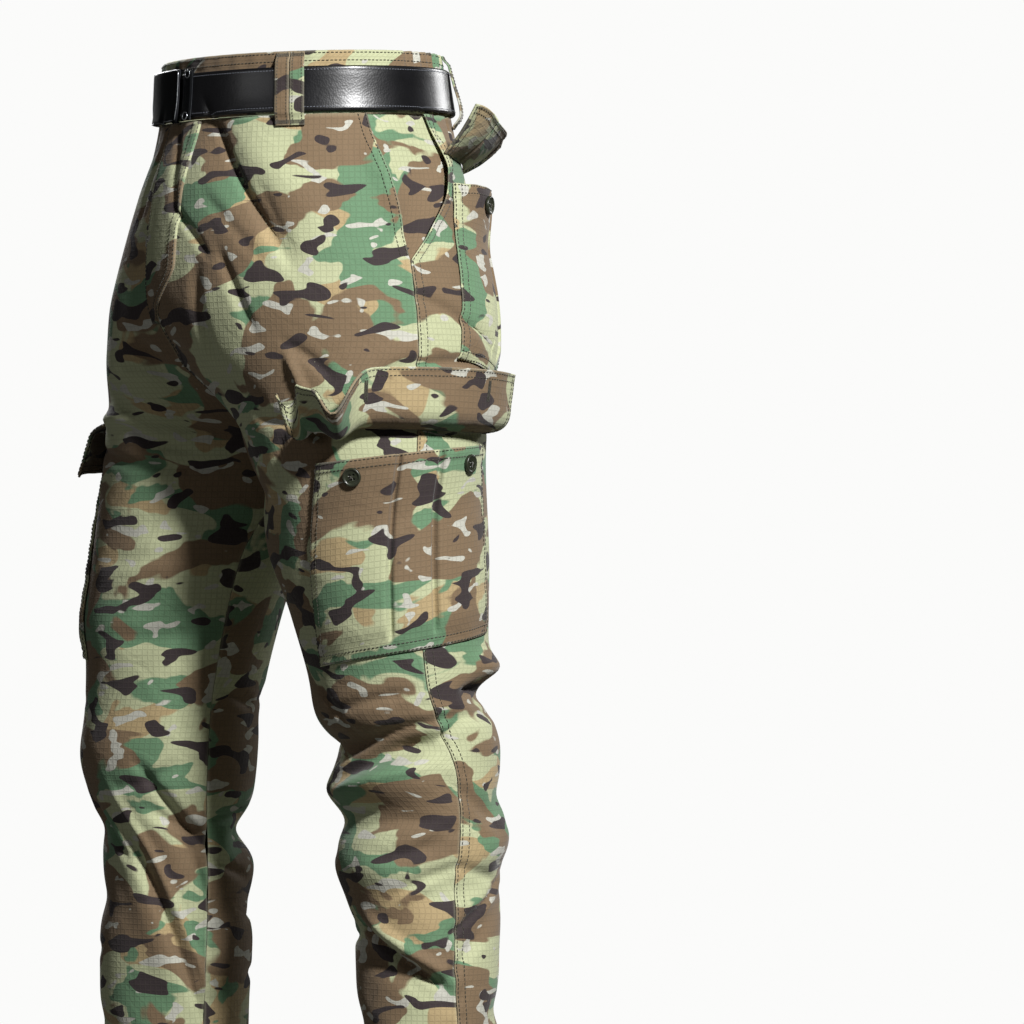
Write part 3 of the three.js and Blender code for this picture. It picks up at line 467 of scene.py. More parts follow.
def printed_ripstop(name, reverse):
    """Cotton poplin with a ripstop grid, printed in woodland blotches; the reverse shows the print paler."""
    material, tree, out = new_material(name)
    cut = add_node(tree, "UVMap", uv_map="flat_cut").outputs["UV"]

    def blotches(size, stretch, shift, level, detail=2.0, distortion=0.35):
        """1 inside a blotch: noise with cells of a size in mm, wider across than down, cut at a level."""
        spread = add_node(tree, "Mapping", {"Vector": cut, "Location": (shift, shift * 1.7, 0),
                                            "Scale": (1 / (size * MM * stretch), 1 / (size * MM), 1)})
        field = add_node(tree, "TexNoise", {"Vector": spread.outputs[0], "Scale": 1.0, "Detail": detail,
                                            "Roughness": 0.42, "Distortion": distortion},
                         noise_dimensions="2D")
        return add_node(tree, "MapRange", {"Value": field.outputs["Fac"], "From Min": level,
                                           "From Max": level + 0.012}).outputs[0]

    def over(below, mask, code):
        """Lays a colour over what is below, where the mask is 1."""
        return add_node(tree, "Mix", {0: mask, 6: below, 7: hex_colour(code)}, data_type="RGBA").outputs[2]

    colour = over(hex_colour("a3a784"), blotches(60, 1.5, 3.1, 0.6, 3.0), "9a8763")
    colour = over(colour, blotches(46, 1.7, 7.7, 0.545, 3.0), "587759")
    colour = over(colour, blotches(62, 1.5, 11.3, 0.52, 3.0), "6c5942")
    colour = over(colour, blotches(13, 2.0, 19.9, 0.675, 1.0), "a8a79c")
    colour = over(colour, blotches(17, 2.1, 29.3, 0.635, 1.0), "2c2324")
    # Ripstop grid: a doubled thread every 4.6 mm each way, drawn 0.8 mm wide so that it shows
    axes = add_node(tree, "SeparateXYZ", {0: cut})
    lines = []
    for axis in (0, 1):
        fold = add_node(tree, "Math", {0: axes.outputs[axis], 1: 0.0023}, operation="PINGPONG")
        line = add_node(tree, "MapRange", {"Value": fold.outputs[0], "From Min": 0.0003, "From Max": 0.0007,
                                           "To Min": 1.0, "To Max": 0.0})
        lines.append(line.outputs[0])
    grid = add_node(tree, "Math", {0: lines[0], 1: lines[1]}, operation="MAXIMUM")
    darker = add_node(tree, "Math", {0: grid.outputs[0], 1: 0.14}, operation="MULTIPLY")
    colour = over(colour, darker.outputs[0], "3a3628")
    # Threads: their real 0.25 mm is too fine to show, so the slub is drawn at about 1 mm
    slub = add_node(tree, "TexNoise", {"Vector": cut, "Scale": 1100.0, "Detail": 2.0, "Roughness": 0.6})
    tint = add_node(tree, "MapRange", {"Value": slub.outputs["Fac"], "To Min": 0.86, "To Max": 1.13})
    colour = add_node(tree, "Mix", {0: 1.0, 6: colour, 7: tint.outputs[0]}, data_type="RGBA",
                      blend_type="MULTIPLY").outputs[2]
    edge = add_node(tree, "Attribute", attribute_name="edge").outputs["Fac"]
    rubbed = add_node(tree, "Math", {0: edge, 1: 0.16}, operation="MULTIPLY")
    colour = over(colour, rubbed.outputs[0], "b9b79a")
    if reverse:
        colour = over(colour, 0.5, "8a8870")
    wrinkle = add_node(tree, "TexNoise", {"Vector": cut, "Scale": 42.0, "Detail": 3.0, "Roughness": 0.5,
                                          "Distortion": 0.8})
    soft = add_node(tree, "Bump", {"Height": wrinkle.outputs["Fac"], "Strength": 0.35, "Distance": 0.004})
    raised = add_node(tree, "Bump", {"Height": grid.outputs[0], "Normal": soft.outputs[0], "Strength": 0.35,
                                     "Distance": 0.0003})
    woven = add_node(tree, "Bump", {"Height": slub.outputs["Fac"], "Normal": raised.outputs[0],
                                    "Strength": 0.3, "Distance": 0.0004})
    cloth = add_node(tree, "BsdfPrincipled", {"Base Color": colour, "Roughness": 0.82,
                                              "Specular IOR Level": 0.35, "Sheen Weight": 0.12,
                                              "Sheen Roughness": 0.5, "Normal": woven.outputs[0]})
    tree.links.new(cloth.outputs[0], out.inputs["Surface"])
    return material


cloth_face = printed_ripstop("printed_ripstop_poplin", False)
cloth_reverse = printed_ripstop("printed_ripstop_reverse", True)

# Spun polyester thread: a dull dark olive with a slight twist to it
thread, tree, out = new_material("spun_polyester_thread")
where = add_node(tree, "TexCoord")
twist = add_node(tree, "TexNoise", {"Vector": where.outputs["Object"], "Scale": 900.0, "Detail": 1.0})
tone = two_tones(tree, twist.outputs["Fac"], "1d1b13", "3a3727")
fibre = add_node(tree, "BsdfPrincipled", {"Base Color": tone, "Roughness": 0.6, "Sheen Weight": 0.2})
tree.links.new(fibre.outputs[0], out.inputs["Surface"])


def sew(name, lines, pitch=3.4, long=2.7, thick=0.42, across=False, finish=thread):
    """Stitches along lines of places and normals, one every pitch: each is a lozenge of ten corners, long
    along the line (or across it), its middle lying 0.6 of its thickness proud of the cloth."""
    centres, ways, ups = [], [], []
    for line, normals in lines:
        run = np.concatenate([[0], np.cumsum(np.linalg.norm(np.diff(line, axis=0), axis=1))])
        at = np.arange(pitch / 2, run[-1] - pitch / 3, pitch)
        spots = [np.stack([np.interp(at + d, run, line[:, k]) for k in range(3)], axis=1)
                 for d in (0, -0.8, 0.8)]
        up = unit(np.stack([np.interp(at, run, normals[:, k]) for k in range(3)], axis=1))
        way = unit(spots[2] - spots[1])
        centres.append(spots[0] + up * thick * 0.6)
        ways.append(unit(np.cross(up, way)) if across else way)
        ups.append(up)
    centre, way, up = (np.concatenate(part) for part in (centres, ways, ups))
    aside = np.cross(way, up)
    ring = np.array([(0, 1), (1, 0), (0, -1), (-1, 0)]) * thick * 0.9
    shape = np.array([(-long / 2, 0, 0)] + [(s * long * 0.28, a, b) for s in (-1, 1) for a, b in ring]
                     + [(long / 2, 0, 0)])
    frames = np.stack([way, aside, up], axis=1)
    places = centre[:, None] + np.einsum("kc,scd->skd", shape, frames)
    quad = [(1 + k, 1 + (k + 1) % 4, 5 + (k + 1) % 4, 5 + k) for k in range(4)]
    tips = [(0, 1 + (k + 1) % 4, 1 + k) for k in range(4)]
    tips += [(9, 5 + k, 5 + (k + 1) % 4) for k in range(4)]
    number = np.arange(len(centre))[:, None, None] * 10
    quads = (np.array(quad)[None] + number).reshape(-1, 4)
    tris = (np.array(tips)[None] + number).reshape(-1, 3)
    return put_mesh(name, places.reshape(-1, 3), quads.tolist() + tris.tolist(), (finish,), rounded=False)


def rim_degrees(z, front):
    """Where a half meets the middle: the angle whose cosine is the gate."""
    return np.degrees(np.arccos(ring_at("left", z, front)[3]))


def mouth_edge(z, side):
    """Edge of the front or the back panel along the hip pocket mouth and the side seam."""
    half_gap = SEAM_GAP / 2 / per_degree(z)
    if side == "front":
        return np.where(z > MOUTH_BOTTOM_Z, read(MOUTH, "front", z), read(SIDE_SEAM, "deg", z)) - half_gap
    return np.where(z > MOUTH_BOTTOM_Z, read(MOUTH, "back", z), read(SIDE_SEAM, "deg", z)) + half_gap


def panel_grid(half, side):
    """Places of one panel: columns mix the middle seam's edge and the side's, rows go down from the band. At
    its edges the cloth dips 0.3 mm into the seam, a felled seam stands 0.55 mm proud over 9 mm, and the sewing
    draws the cloth into small uneven waves."""
    z = panel_rows[:, None]
    u = panel_columns[None, :]
    middle_gap = SEAM_GAP / 2 / per_degree(z)
    if side == "front":
        start, end = rim_degrees(z, True) + middle_gap, mouth_edge(z, "front")
    else:
        start, end = mouth_edge(z, "back"), 360 - rim_degrees(z, False) - middle_gap
    deg = start + (end - start) * u
    width = (end - start) * per_degree(z)
    to_start, to_end = u * width, (1 - u) * width
    felled = to_start if (side == "back" or half == "left") else None
    out = -0.3 * np.exp(-(to_start / 0.8) ** 2) - 0.3 * np.exp(-(to_end / 0.8) ** 2)
    if felled is not None:
        out = out + FELL_RISE * smooth((FELL_WIDTH + 0.8 - felled) / 1.6)
    for edge, beat in ((to_start, 0.0), (to_end, 2.0)):
        wave = np.sin(z / 3.1 + beat) + 0.7 * np.sin(z / 5.3 + 1.3 * beat) + 0.5 * np.sin(z / 2.2 + beat)
        out = out + 0.28 * wave * np.exp(-((edge - 7) / 8) ** 2)
    return lift(half, deg, np.broadcast_to(z, deg.shape), out, inside=True)


near_edge = np.array([0, 0.003, 0.007, 0.013, 0.021, 0.03, 0.036, 0.042, 0.048, 0.056])
panel_columns = np.concatenate([near_edge, np.linspace(0.066, 0.934, 66), 1 - near_edge[::-1]])
panel_rows = np.concatenate([np.linspace(BAND_Z, -250, 62), np.linspace(-253, -320, 26),
                             np.linspace(-323.4, HEM_Z, 246)])
PANEL_SHIFT = {("left", "front"): (0.13, 0.4), ("left", "back"): (2.31, 1.9), ("right", "front"): (4.73, 3.3),
               ("right", "back"): (6.19, 5.2)}

panels = {}
for (half, side), shift in PANEL_SHIFT.items():
    turn = OUTWARD_TURN[half]
    grid = panel_grid(half, side)
    panels[half, side] = grid
    panel = cloth_wall(f"cloth_{side}_{half}", grid, PANEL_WALL, turn, shift)
    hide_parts(f"{side}_panel_{half}")
    edges = [inset(grid, turn, "start", d) for d in (ROW_NEAR, ROW_FAR)]
    if side == "front":
        below_mouth = len(panel_rows[panel_rows > MOUTH_BOTTOM_Z])
        edges += [tuple(part[:below_mouth] for part in inset(grid, turn, "end", d))
                  for d in (ROW_NEAR, ROW_FAR)]
        if half == "right":
            edges = edges[2:]
    seam_rows = sew(f"seam_rows_{side}_{half}", edges)

# Hip pocket facings
# Cloth of the pocket bag's back layer, which shows where the slanted mouth gapes. It is caught in the waist
# seam.
for half in ("left", "right"):
    z = np.linspace(BAND_Z, -196, 44)[:, None]
    u = np.linspace(0, 1, 26)[None, :]
    start = read(MOUTH, "front", np.maximum(z, MOUTH_BOTTOM_Z)) - 9
    end = read(MOUTH, "back", np.maximum(z, MOUTH_BOTTOM_Z)) + 9
    sink = 2.8 + 7.5 * np.sin(np.pi * u) * smooth((-50 - z) / 50)
    grid = lift(half, start + (end - start) * u, np.broadcast_to(z, sink.shape), -sink)
    turn = OUTWARD_TURN[half]
    shift = (8.3 if half == "left" else 9.1, 0.6)
    facing = cloth_wall(f"cloth_hip_facing_{half}", grid, PANEL_WALL, turn, shift)
    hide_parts(f"hip_pocket_facing_{half}")

# Waistband
# One long strip folded over the panels' upper edge and sewn through; elastic behind each side draws it into
# short gathers. Rows of stitches run along both of its edges.
GATHERS, GATHER_START, GATHER_END = 9, 104, 150


def waist(turn, z, out):
    """Places round the whole waist: 0 front, 90 left side, 180 back, 270 right side."""
    turn, z, out = np.broadcast_arrays(turn % 360, np.asarray(z, float), np.asarray(out, float))
    left = lift("left", 90 + np.minimum(turn, 180), z, out)
    right = lift("right", 450 - np.maximum(turn, 180), z, out)
    return np.where((turn <= 180)[..., None], left, right)


def gather(turn):
    """Depth of the elastic's gathers: a cosine wave between two turns, the same on both sides."""
    t = np.where(turn <= 180, turn, 360 - turn)
    f = (t - GATHER_START) / (GATHER_END - GATHER_START)
    wave = 0.5 - 0.5 * np.cos(2 * np.pi * GATHERS * f)
    fine = np.sin(2 * np.pi * GATHERS * 2.6 * f + 0.8) * np.sin(np.pi * f)
    return np.where((f > 0) & (f < 1), 0.5 * fine - 2.0 * wave, 0)


turns = np.linspace(0, 360, 541)[:-1][None, :]
z = np.array([0, -0.6, -1.6, -3, -5, -8, -11, -15, -22, -30, -38, -44, -47, -49, -50])[:, None]
round_off = -0.9 * np.exp(-(-z / 0.9) ** 2) - 0.6 * np.exp(-((z + 50) / 0.9) ** 2)
pull = 0.9 + 0.9 * np.exp(z / 9)
ripple = 0.25 * np.sin(np.radians(turns) * 47) * (z > -12)
grid = waist(turns, z, 0.5 + round_off + gather(turns) * pull + ripple)
band = cloth_wall("cloth_waistband", grid, 2.3, -1, (11.7, 2.2), closed=True)
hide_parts("waistband")
band_rows = sew("waistband_rows", [inset(grid, -1, "top", 2.4, True), inset(grid, -1, "top", 8.6, True),
                                   inset(grid, -1, "bottom", 2.0, True)])

# Fly
# The left front's overlap: a shaped strip on the panels, held by rows whose lower end curves to the middle.
FLY_TOP, FLY_BOTTOM, FLY_LAP, FLY_WIDE = -52, -214, -7, 40
z = np.linspace(FLY_TOP, FLY_BOTTOM, 60)[:, None]
u = np.linspace(0, 1, 20)[None, :]
bow = 1 - smooth((-165 - z) / 52) * 0.92
x = FLY_LAP + (FLY_WIDE * bow - FLY_LAP) * u
across, middle = ring_at("left", z, True)[:2]
deg = np.degrees(np.arccos(np.clip((middle - np.abs(x)) / across, -1, 1)))
z = np.broadcast_to(z, deg.shape)
out = 2.1 - 0.9 * np.exp(-(u * 47 / 1.0) ** 2) - 1.3 * np.exp(-((1 - u) * 47 * bow / 1.2) ** 2)
grid = np.where((x < 0)[..., None], lift("right", deg, z, out), lift("left", deg, z, out))
fly = cloth_wall("cloth_fly", grid, 1.0, -1, (13.9, 0.9))
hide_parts("fly")
fly_lines = (("end", 2.0), ("end", 8.0), ("start", 2.0))
fly_rows = sew("fly_rows", [inset(grid, -1, side, d) for side, d in fly_lines])

# Cargo pockets
# A patch on each thigh, over the side seam: its upper edge is turned and sewn, two pleats run down it, and two
# rows hold its sides and bottom. The mouth stands off the leg.
LAY = 0.9
CARGO = {"top_deg": (128, 222), "low_deg": (98, 225), "top_z": (-328, -312), "low_z": (-488, -462)}
CARGO_PLEATS = (0.41, 0.62)
CARGO_GAPE = {"left": 10, "right": 3}
CARGO_BELLY = 6
POCKET_WALL = 1.4
PLEAT_TROUGH, PLEAT_SHARE, PLEAT_SINK = 5.5, 0.013, 1.6


def between(ends, share):
    """Straight mix of two ends."""
    return ends[0] + (ends[1] - ends[0]) * share


def patch_place(spec, u, v):
    """Degrees and height on a patch: straight mixes of its four corners."""
    deg = between((between(spec["top_deg"], u), between(spec["low_deg"], u)), v)
    return deg, between((between(spec["top_z"], u), between(spec["low_z"], u)), v)


def patch_rise(u, v, belly, gape, pleats):
    """How far a patch stands off: a belly that ends at its sewn border, a mouth that gapes, and a pair of
    pleats, which are two narrow troughs with a sunk strip between them."""
    across = np.sin(np.pi * np.clip(u, 0, 1)) ** 0.7
    low = smooth((1 - v) / 0.16)
    rise = belly * across * low + gape * across * (1 - smooth(v / 0.34))
    fades = low * smooth((rise - 1.5) / 2)
    for place in pleats:
        rise = rise - PLEAT_TROUGH * np.exp(-((u - place) / PLEAT_SHARE) ** 2) * fades
    strip = smooth((u - pleats[0]) / 0.012) * smooth((pleats[1] - u) / 0.012)
    return LAY + np.maximum(0, rise - PLEAT_SINK * strip * fades)


def patch_grid(half, spec, belly, gape, pleats, columns, rows):
    """Outer places of a patch, its border rounded down by 1 mm and drawn in small waves by the sewing."""
    u, v = np.meshgrid(columns, rows)
    deg, z = patch_place(spec, u, v)
    height = spec["top_z"][0] - spec["low_z"][0]
    width = (spec["top_deg"][1] - spec["top_deg"][0]) * per_degree(spec["top_z"][0])
    to_side = np.minimum(u, 1 - u) * width
    to_end = np.minimum(v, 1 - v) * height
    near = np.minimum(to_side, to_end)
    out = patch_rise(u, v, belly, gape, pleats) + POCKET_WALL
    out = out - 0.8 * np.exp(-(near / 0.9) ** 2)
    out = out + 0.3 * np.exp(-((to_side - 6) / 6) ** 2) * (np.sin(z / 2.9) + 0.6 * np.sin(z / 4.7 + 1))
    out = out + 0.3 * np.exp(-(((1 - v) * height - 6) / 6) ** 2) * np.sin(u * width / 3.3)
    out = out + 0.5 * smooth((9.5 - v * height) / 1.2)
    return lift(half, deg, z, out)


fine = [p + d for p in CARGO_PLEATS for d in np.linspace(-0.03, 0.03, 15)]
border = np.array([0, 0.003, 0.007, 0.012, 0.02])
columns = np.unique(np.round(np.concatenate([np.linspace(0.03, 0.97, 62), fine, border, 1 - border]), 4))
def border_rows(grid, turn):
    """Two sewn lines inside each of a patch's four borders."""
    sides = ("start", "end", "top", "bottom")
    return [inset(grid, turn, side, d) for side in sides for d in (ROW_NEAR, ROW_FAR)]


turned_edge = [0.055, 0.0575, 0.06]
rows = np.unique(np.round(np.concatenate([np.linspace(0.02, 0.98, 54), border, 1 - border, turned_edge]), 4))
for half in ("left", "right"):
    turn = OUTWARD_TURN[half]
    grid = patch_grid(half, CARGO, CARGO_BELLY, CARGO_GAPE[half], CARGO_PLEATS, columns, rows)
    shift = (15.2 if half == "left" else 17.4, 1.1)
    patch = cloth_wall(f"cloth_cargo_pocket_{half}", grid, POCKET_WALL - 0.3, turn, shift)
    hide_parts(f"cargo_pocket_{half}")
    cargo_rows = sew(f"cargo_pocket_rows_{half}", border_rows(grid, turn))

# Flaps
# Two layers turned and topstitched, sewn down along one long edge. Three of them are lifted and stand out from
# the body; the right thigh's hangs over its pocket. Each has stitched buttonholes at its free edge.
FLAP_WALL, FLAP_CLOTH = 2.0, 1.8
BACK_FLAP = {"deg": (209, 252), "z": (-82, -94), "long": 42, "rise": (20, 44), "turn": (0, 1), "seat": 0.8}
RAISED_FLAP = {"deg": (124, 228), "z": (-299, -303), "long": 60, "rise": (12, 84), "turn": (0.12, 0.5),
               "seat": 1.1}
HUNG_FLAP = {"deg": (122, 228), "z": (-294, -288), "long": 52, "rise": (-24, -76), "turn": (0.05, 0.45),
             "seat": 1.3}
FLAP_DENT = {"at": 0.19, "wide": 0.065, "deep": 50}
DROOP_SHARE, LEAN_STEP = 0.12, 0.01
HOLE_LONG, HOLE_FROM_EDGE, FLAP_PARTS = 17.0, 17.0, 12


def flap_grid(half, spec, front_droop, wave, columns, rows):
    """Upper places of a flap: from its sewn edge the cloth leaves the body at the first rise and turns to the
    last one between two shares of its length, summed in 12 steps; its front corner droops, a dent bends it
    down near the front, and its free edge ripples. Where it leans, the wall is widened to stay as thick."""
    u, w = np.meshgrid(columns, rows)
    deg, z = between(spec["deg"], u), between(spec["z"], u)
    base = lift(half, deg, z, np.zeros_like(z))
    normal = lift(half, deg, z, np.ones_like(z)) - base
    length = (spec["deg"][1] - spec["deg"][0]) * per_degree(spec["z"][0])

    def sag_at(u):
        """Degrees by which the flap sags below its rise, only where its front corner droops."""
        dent = FLAP_DENT["deep"] * np.exp(-((u - FLAP_DENT["at"]) / FLAP_DENT["wide"]) ** 2)
        return front_droop * (1 - smooth(u / DROOP_SHARE)) + dent if front_droop else 0.0 * u

    def tilt_at(along):
        """The cloth's tilt in radians, at a share of its length."""
        turned = smooth((along - spec["turn"][0]) / (spec["turn"][1] - spec["turn"][0]))
        return np.radians(between(spec["rise"], turned) - sag_at(u))

    out, rise = np.full_like(u, spec["seat"]), np.zeros_like(u)
    for k in range(FLAP_PARTS):
        tilt = tilt_at(w * (k + 0.5) / FLAP_PARTS)
        out = out + np.cos(tilt) * spec["long"] * w / FLAP_PARTS
        rise = rise + np.sin(tilt) * spec["long"] * w / FLAP_PARTS
    tilt = tilt_at(w)
    near = np.minimum(np.minimum(u, 1 - u) * length, (1 - w) * spec["long"])
    lean = np.radians(sag_at(u + LEAN_STEP) - sag_at(u - LEAN_STEP)) / (2 * LEAN_STEP * length)
    steep = lean * spec["long"] * w
    half_wall = (FLAP_WALL / 2 - 0.5 * np.exp(-(near / 1.1) ** 2)) * np.hypot(1, steep)
    wrinkle = np.sin(u * length / 2.6) + 0.7 * np.sin(w * 50 / 2.3 + 1)
    pucker = 0.22 * np.exp(-((near - 5) / 5) ** 2) * wrinkle
    ripple = wave * np.sin(2.6 * np.pi * u + 0.7) * w * w
    out = out - (half_wall + pucker) * np.sin(tilt) + ripple
    rise = rise + (half_wall + pucker) * np.cos(tilt)
    return base + normal * out[..., None] + np.array([0, 0, 1]) * rise[..., None]


def both_faces(line, wall):
    """The line on a piece's outer face, and the same line on its inner face."""
    places, normals = line
    return [line, (places - normals * wall, -normals)]


def buttonhole(name, grid, turn, share, wall):
    """A slit with a dense row of stitches on either side, on both faces: two lines 1 mm aside from the grid's
    column at a share of the width, from one distance to another off the free edge."""
    column = int(round(share * (grid.shape[1] - 1)))
    normals = grid_normals(grid, turn)[::-1, column]
    places = grid[::-1, column]
    run = np.concatenate([[0], np.cumsum(np.linalg.norm(np.diff(places, axis=0), axis=1))])
    at = np.linspace(HOLE_FROM_EDGE - HOLE_LONG / 2, HOLE_FROM_EDGE + HOLE_LONG / 2, 25)
    line = np.stack([np.interp(at, run, places[:, k]) for k in range(3)], axis=1)
    up = unit(np.stack([np.interp(at, run, normals[:, k]) for k in range(3)], axis=1))
    aside = unit(np.cross(up, np.gradient(line, axis=0)))
    sides = [face for s in (-1.0, 1.0) for face in both_faces((line + aside * s, up), wall)]
    bar = sew(name + "_bars", sides, pitch=0.85, long=1.9, thick=0.42, across=True)
    slit = sew(name + "_slit", both_faces((line, up), wall), pitch=HOLE_LONG - 0.1, long=HOLE_LONG - 1,
               thick=0.3)


flap_columns = np.concatenate([[0, 0.003, 0.008, 0.015], np.linspace(0.025, 0.975, 84),
                               [0.985, 0.992, 0.997, 1]])
flap_rows = np.concatenate([np.linspace(0, 0.95, 34), [0.965, 0.98, 0.992, 1]])
FLAPS = [
    ("back_flap_left", "left", BACK_FLAP, 0, 1.4, (0.4,), (0.11, 0.044)),
    ("back_flap_right", "right", BACK_FLAP, 0, 1.4, (0.4,), (0.11, 0.044)),
    ("cargo_flap_left", "left", RAISED_FLAP, 18, 2.0, (0.3, 0.79), (0.18, 0.063)),
    ("cargo_flap_right", "right", HUNG_FLAP, 0, 2.0, (0.24, 0.79), (0.18, 0.055)),
]
for count, (name, half, spec, droop, wave, holes, cut) in enumerate(FLAPS):
    turn = OUTWARD_TURN[half]
    grid = flap_grid(half, spec, droop, wave, flap_columns, flap_rows)
    flap = cloth_wall(f"cloth_{name}", grid, FLAP_CLOTH, turn, (20.0 + 1.7 * count, 3.0),
                      finishes=(cloth_face, cloth_face))
    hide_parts(name)
    sewn = [face for side in ("start", "end", "bottom") for d in (ROW_NEAR, ROW_FAR - 1)
            for face in both_faces(inset(grid, turn, side, d), FLAP_CLOTH)]
    flap_sewing = sew(f"{name}_rows", sewn)
    for k, share in enumerate(holes):
        buttonhole(f"{name}_hole_{k + 1}", grid, turn, share, FLAP_CLOTH)

# Back pockets
# A patch on each seat panel, with a pair of pleats, its own turned mouth and rows like the cargo pocket's.
BACK_POCKET = {"top_deg": (209, 249), "low_deg": (203, 244), "top_z": (-106, -122), "low_z": (-244, -262)}
BACK_PLEATS = (0.5, 0.68)
BACK_BELLY, BACK_GAPE = 5, 13
fine = [p + d for p in BACK_PLEATS for d in np.linspace(-0.03, 0.03, 11)]
columns = np.unique(np.round(np.concatenate([np.linspace(0.03, 0.97, 50), fine, border, 1 - border]), 4))
for half in ("left", "right"):
    turn = OUTWARD_TURN[half]
    grid = patch_grid(half, BACK_POCKET, BACK_BELLY, BACK_GAPE, BACK_PLEATS, columns, rows)
    shift = (28.2 if half == "left" else 30.4, 1.1)
    patch = cloth_wall(f"cloth_back_pocket_{half}", grid, POCKET_WALL - 0.3, turn, shift)
    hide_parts(f"back_pocket_{half}")
    pocket_rows = sew(f"back_pocket_rows_{half}", border_rows(grid, turn))

# Hems
# The end of each leg is turned up inside and sewn twice round.
HEM_UPPER_Z, HEM_ROW_HEIGHTS = -970, (-974, -980)
for half in ("left", "right"):
    turn = OUTWARD_TURN[half]
    z = np.linspace(HEM_UPPER_Z, HEM_Z, 10)[:, None]
    gap = SEAM_GAP / 2 / per_degree(z)
    u = np.linspace(0, 1, 181)[:-1][None, :]
    deg = gap + (360 - 2 * gap) * u
    grid = lift(half, deg, np.broadcast_to(z, deg.shape), np.full(deg.shape, -PANEL_WALL - 0.8))
    shift = (33.0 if half == "left" else 35.0, 1.0)
    hem = cloth_wall(f"cloth_hem_{half}", grid, PANEL_WALL, turn, shift, closed=True,
                     finishes=(cloth_reverse, cloth_face))
    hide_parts(f"hem_{half}")
    deg = np.linspace(0, 360, 220)
    sewn = []
    for height in HEM_ROW_HEIGHTS:
        line, above = (lift(half, deg, np.full_like(deg, height), np.full_like(deg, out_by))
                       for out_by in (0.1, 1.1))
        sewn.append((line, above - line))
    hem_rows = sew(f"hem_rows_{half}", sewn)

# Buttons
# Dark olive moulded buttons with a raised rim and four holes, sewn on through crossed threads: one on each
# back pocket's mouth, two on each cargo pocket's.
BUTTON_PROFILE = np.array([
    (0.02, 2.1), (0.5, 2.1), (0.9, 2.1), (1.2, 2.1), (1.5, 2.1), (1.8, 2.1), (2.1, 2.1), (2.4, 2.1),
    (2.8, 2.1), (3.3, 2.12), (4.0, 2.15), (4.8, 2.2), (5.3, 2.35), (5.7, 2.7), (6.0, 2.92), (6.4, 3.0),
    (6.8, 2.95), (7.15, 2.78), (7.4, 2.4), (7.5, 1.9), (7.5, 0.9), (7.3, 0.35), (6.6, 0.05), (0.02, 0.0),
])
BUTTON_SIDES, HOLE_PLACE = 56, 1.55
BUTTON_HOLES = [(a, b) for a in (-HOLE_PLACE, HOLE_PLACE) for b in (-HOLE_PLACE, HOLE_PLACE)]

# Moulded urea resin, satin, dark olive with a cloudy grain
button_resin, tree, out = new_material("moulded_button_resin")
where = add_node(tree, "TexCoord")
cloud = add_node(tree, "TexNoise", {"Vector": where.outputs["Object"], "Scale": 160.0, "Detail": 3.0})
tone = two_tones(tree, cloud.outputs["Fac"], "15170f", "2f3325")
grain = add_node(tree, "Bump", {"Height": cloud.outputs["Fac"], "Strength": 0.1, "Distance": 0.0002})
resin = add_node(tree, "BsdfPrincipled", {"Base Color": tone, "Roughness": 0.36,
                                          "Normal": grain.outputs[0]})
tree.links.new(resin.outputs[0], out.inputs["Surface"])


def button(name, half, spec, u, v, belly, gape, pleats):
    """A turned profile about the patch's normal, its holes sunk by 1.5 exp(-(distance / 0.75)^4), and two
    crossed threads between the holes."""

    def near(du, dv, extra):
        deg, z = patch_place(spec, u + du, v + dv)
        rise = patch_rise(np.array(u + du), np.array(v + dv), belly, gape, pleats)
        return lift(half, np.array(deg), np.array(z), rise + POCKET_WALL + extra)

    centre = near(0, 0, 0.3)
    right, down = near(0.03, 0, 0) - near(-0.03, 0, 0), near(0, 0.03, 0) - near(0, -0.03, 0)
    normal = unit(np.cross(right, down))
    if normal @ (near(0, 0, 5) - centre) < 0:
        normal = -normal
    first = unit(right)
    second = np.cross(normal, first)
    angle = np.linspace(0, 2 * np.pi, BUTTON_SIDES + 1)[:-1]
    a, b = (BUTTON_PROFILE[:, 0, None] * f(angle) for f in (np.cos, np.sin))
    height = np.broadcast_to(BUTTON_PROFILE[:, 1, None], a.shape).copy()
    for hole_a, hole_b in BUTTON_HOLES:
        away = np.hypot(a - hole_a, b - hole_b)
        height -= np.where(height > 2, 1.5, 0) * np.exp(-(away / 0.75) ** 4)
    places = centre + a[..., None] * first + b[..., None] * second + height[..., None] * normal
    j, i = np.meshgrid(np.arange(len(BUTTON_PROFILE) - 1), np.arange(BUTTON_SIDES), indexing="ij")
    here, below, next_i = j * BUTTON_SIDES, (j + 1) * BUTTON_SIDES, (i + 1) % BUTTON_SIDES
    faces = np.stack([here + i, below + i, below + next_i, here + next_i], axis=-1)
    disc = put_mesh(f"resin_{name}", places.reshape(-1, 3), faces.reshape(-1, 4).tolist(), (button_resin,))
    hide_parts(name)
    threads = []
    for s in (-1, 1):
        height = 2.2 + 0.3 * (s + 1)
        ends = [centre + normal * height + k * HOLE_PLACE * (first + s * second) for k in (-1, 1)]
        path = np.array([ends[0], centre + normal * (height + 0.3), ends[1]])
        threads.append((path, np.array([normal] * 3)))
    crossed = sew(f"{name}_thread", threads, pitch=4.2, long=4.6, thick=0.45)


for half in ("left", "right"):
    button(f"back_button_{half}", half, BACK_POCKET, 0.4, 0.1, BACK_BELLY, BACK_GAPE, BACK_PLEATS)
    for letter, share in (("a", 0.21), ("b", 0.79)):
        button(f"cargo_button_{half}_{letter}", half, CARGO, share, 0.09, CARGO_BELLY, CARGO_GAPE[half],
               CARGO_PLEATS)

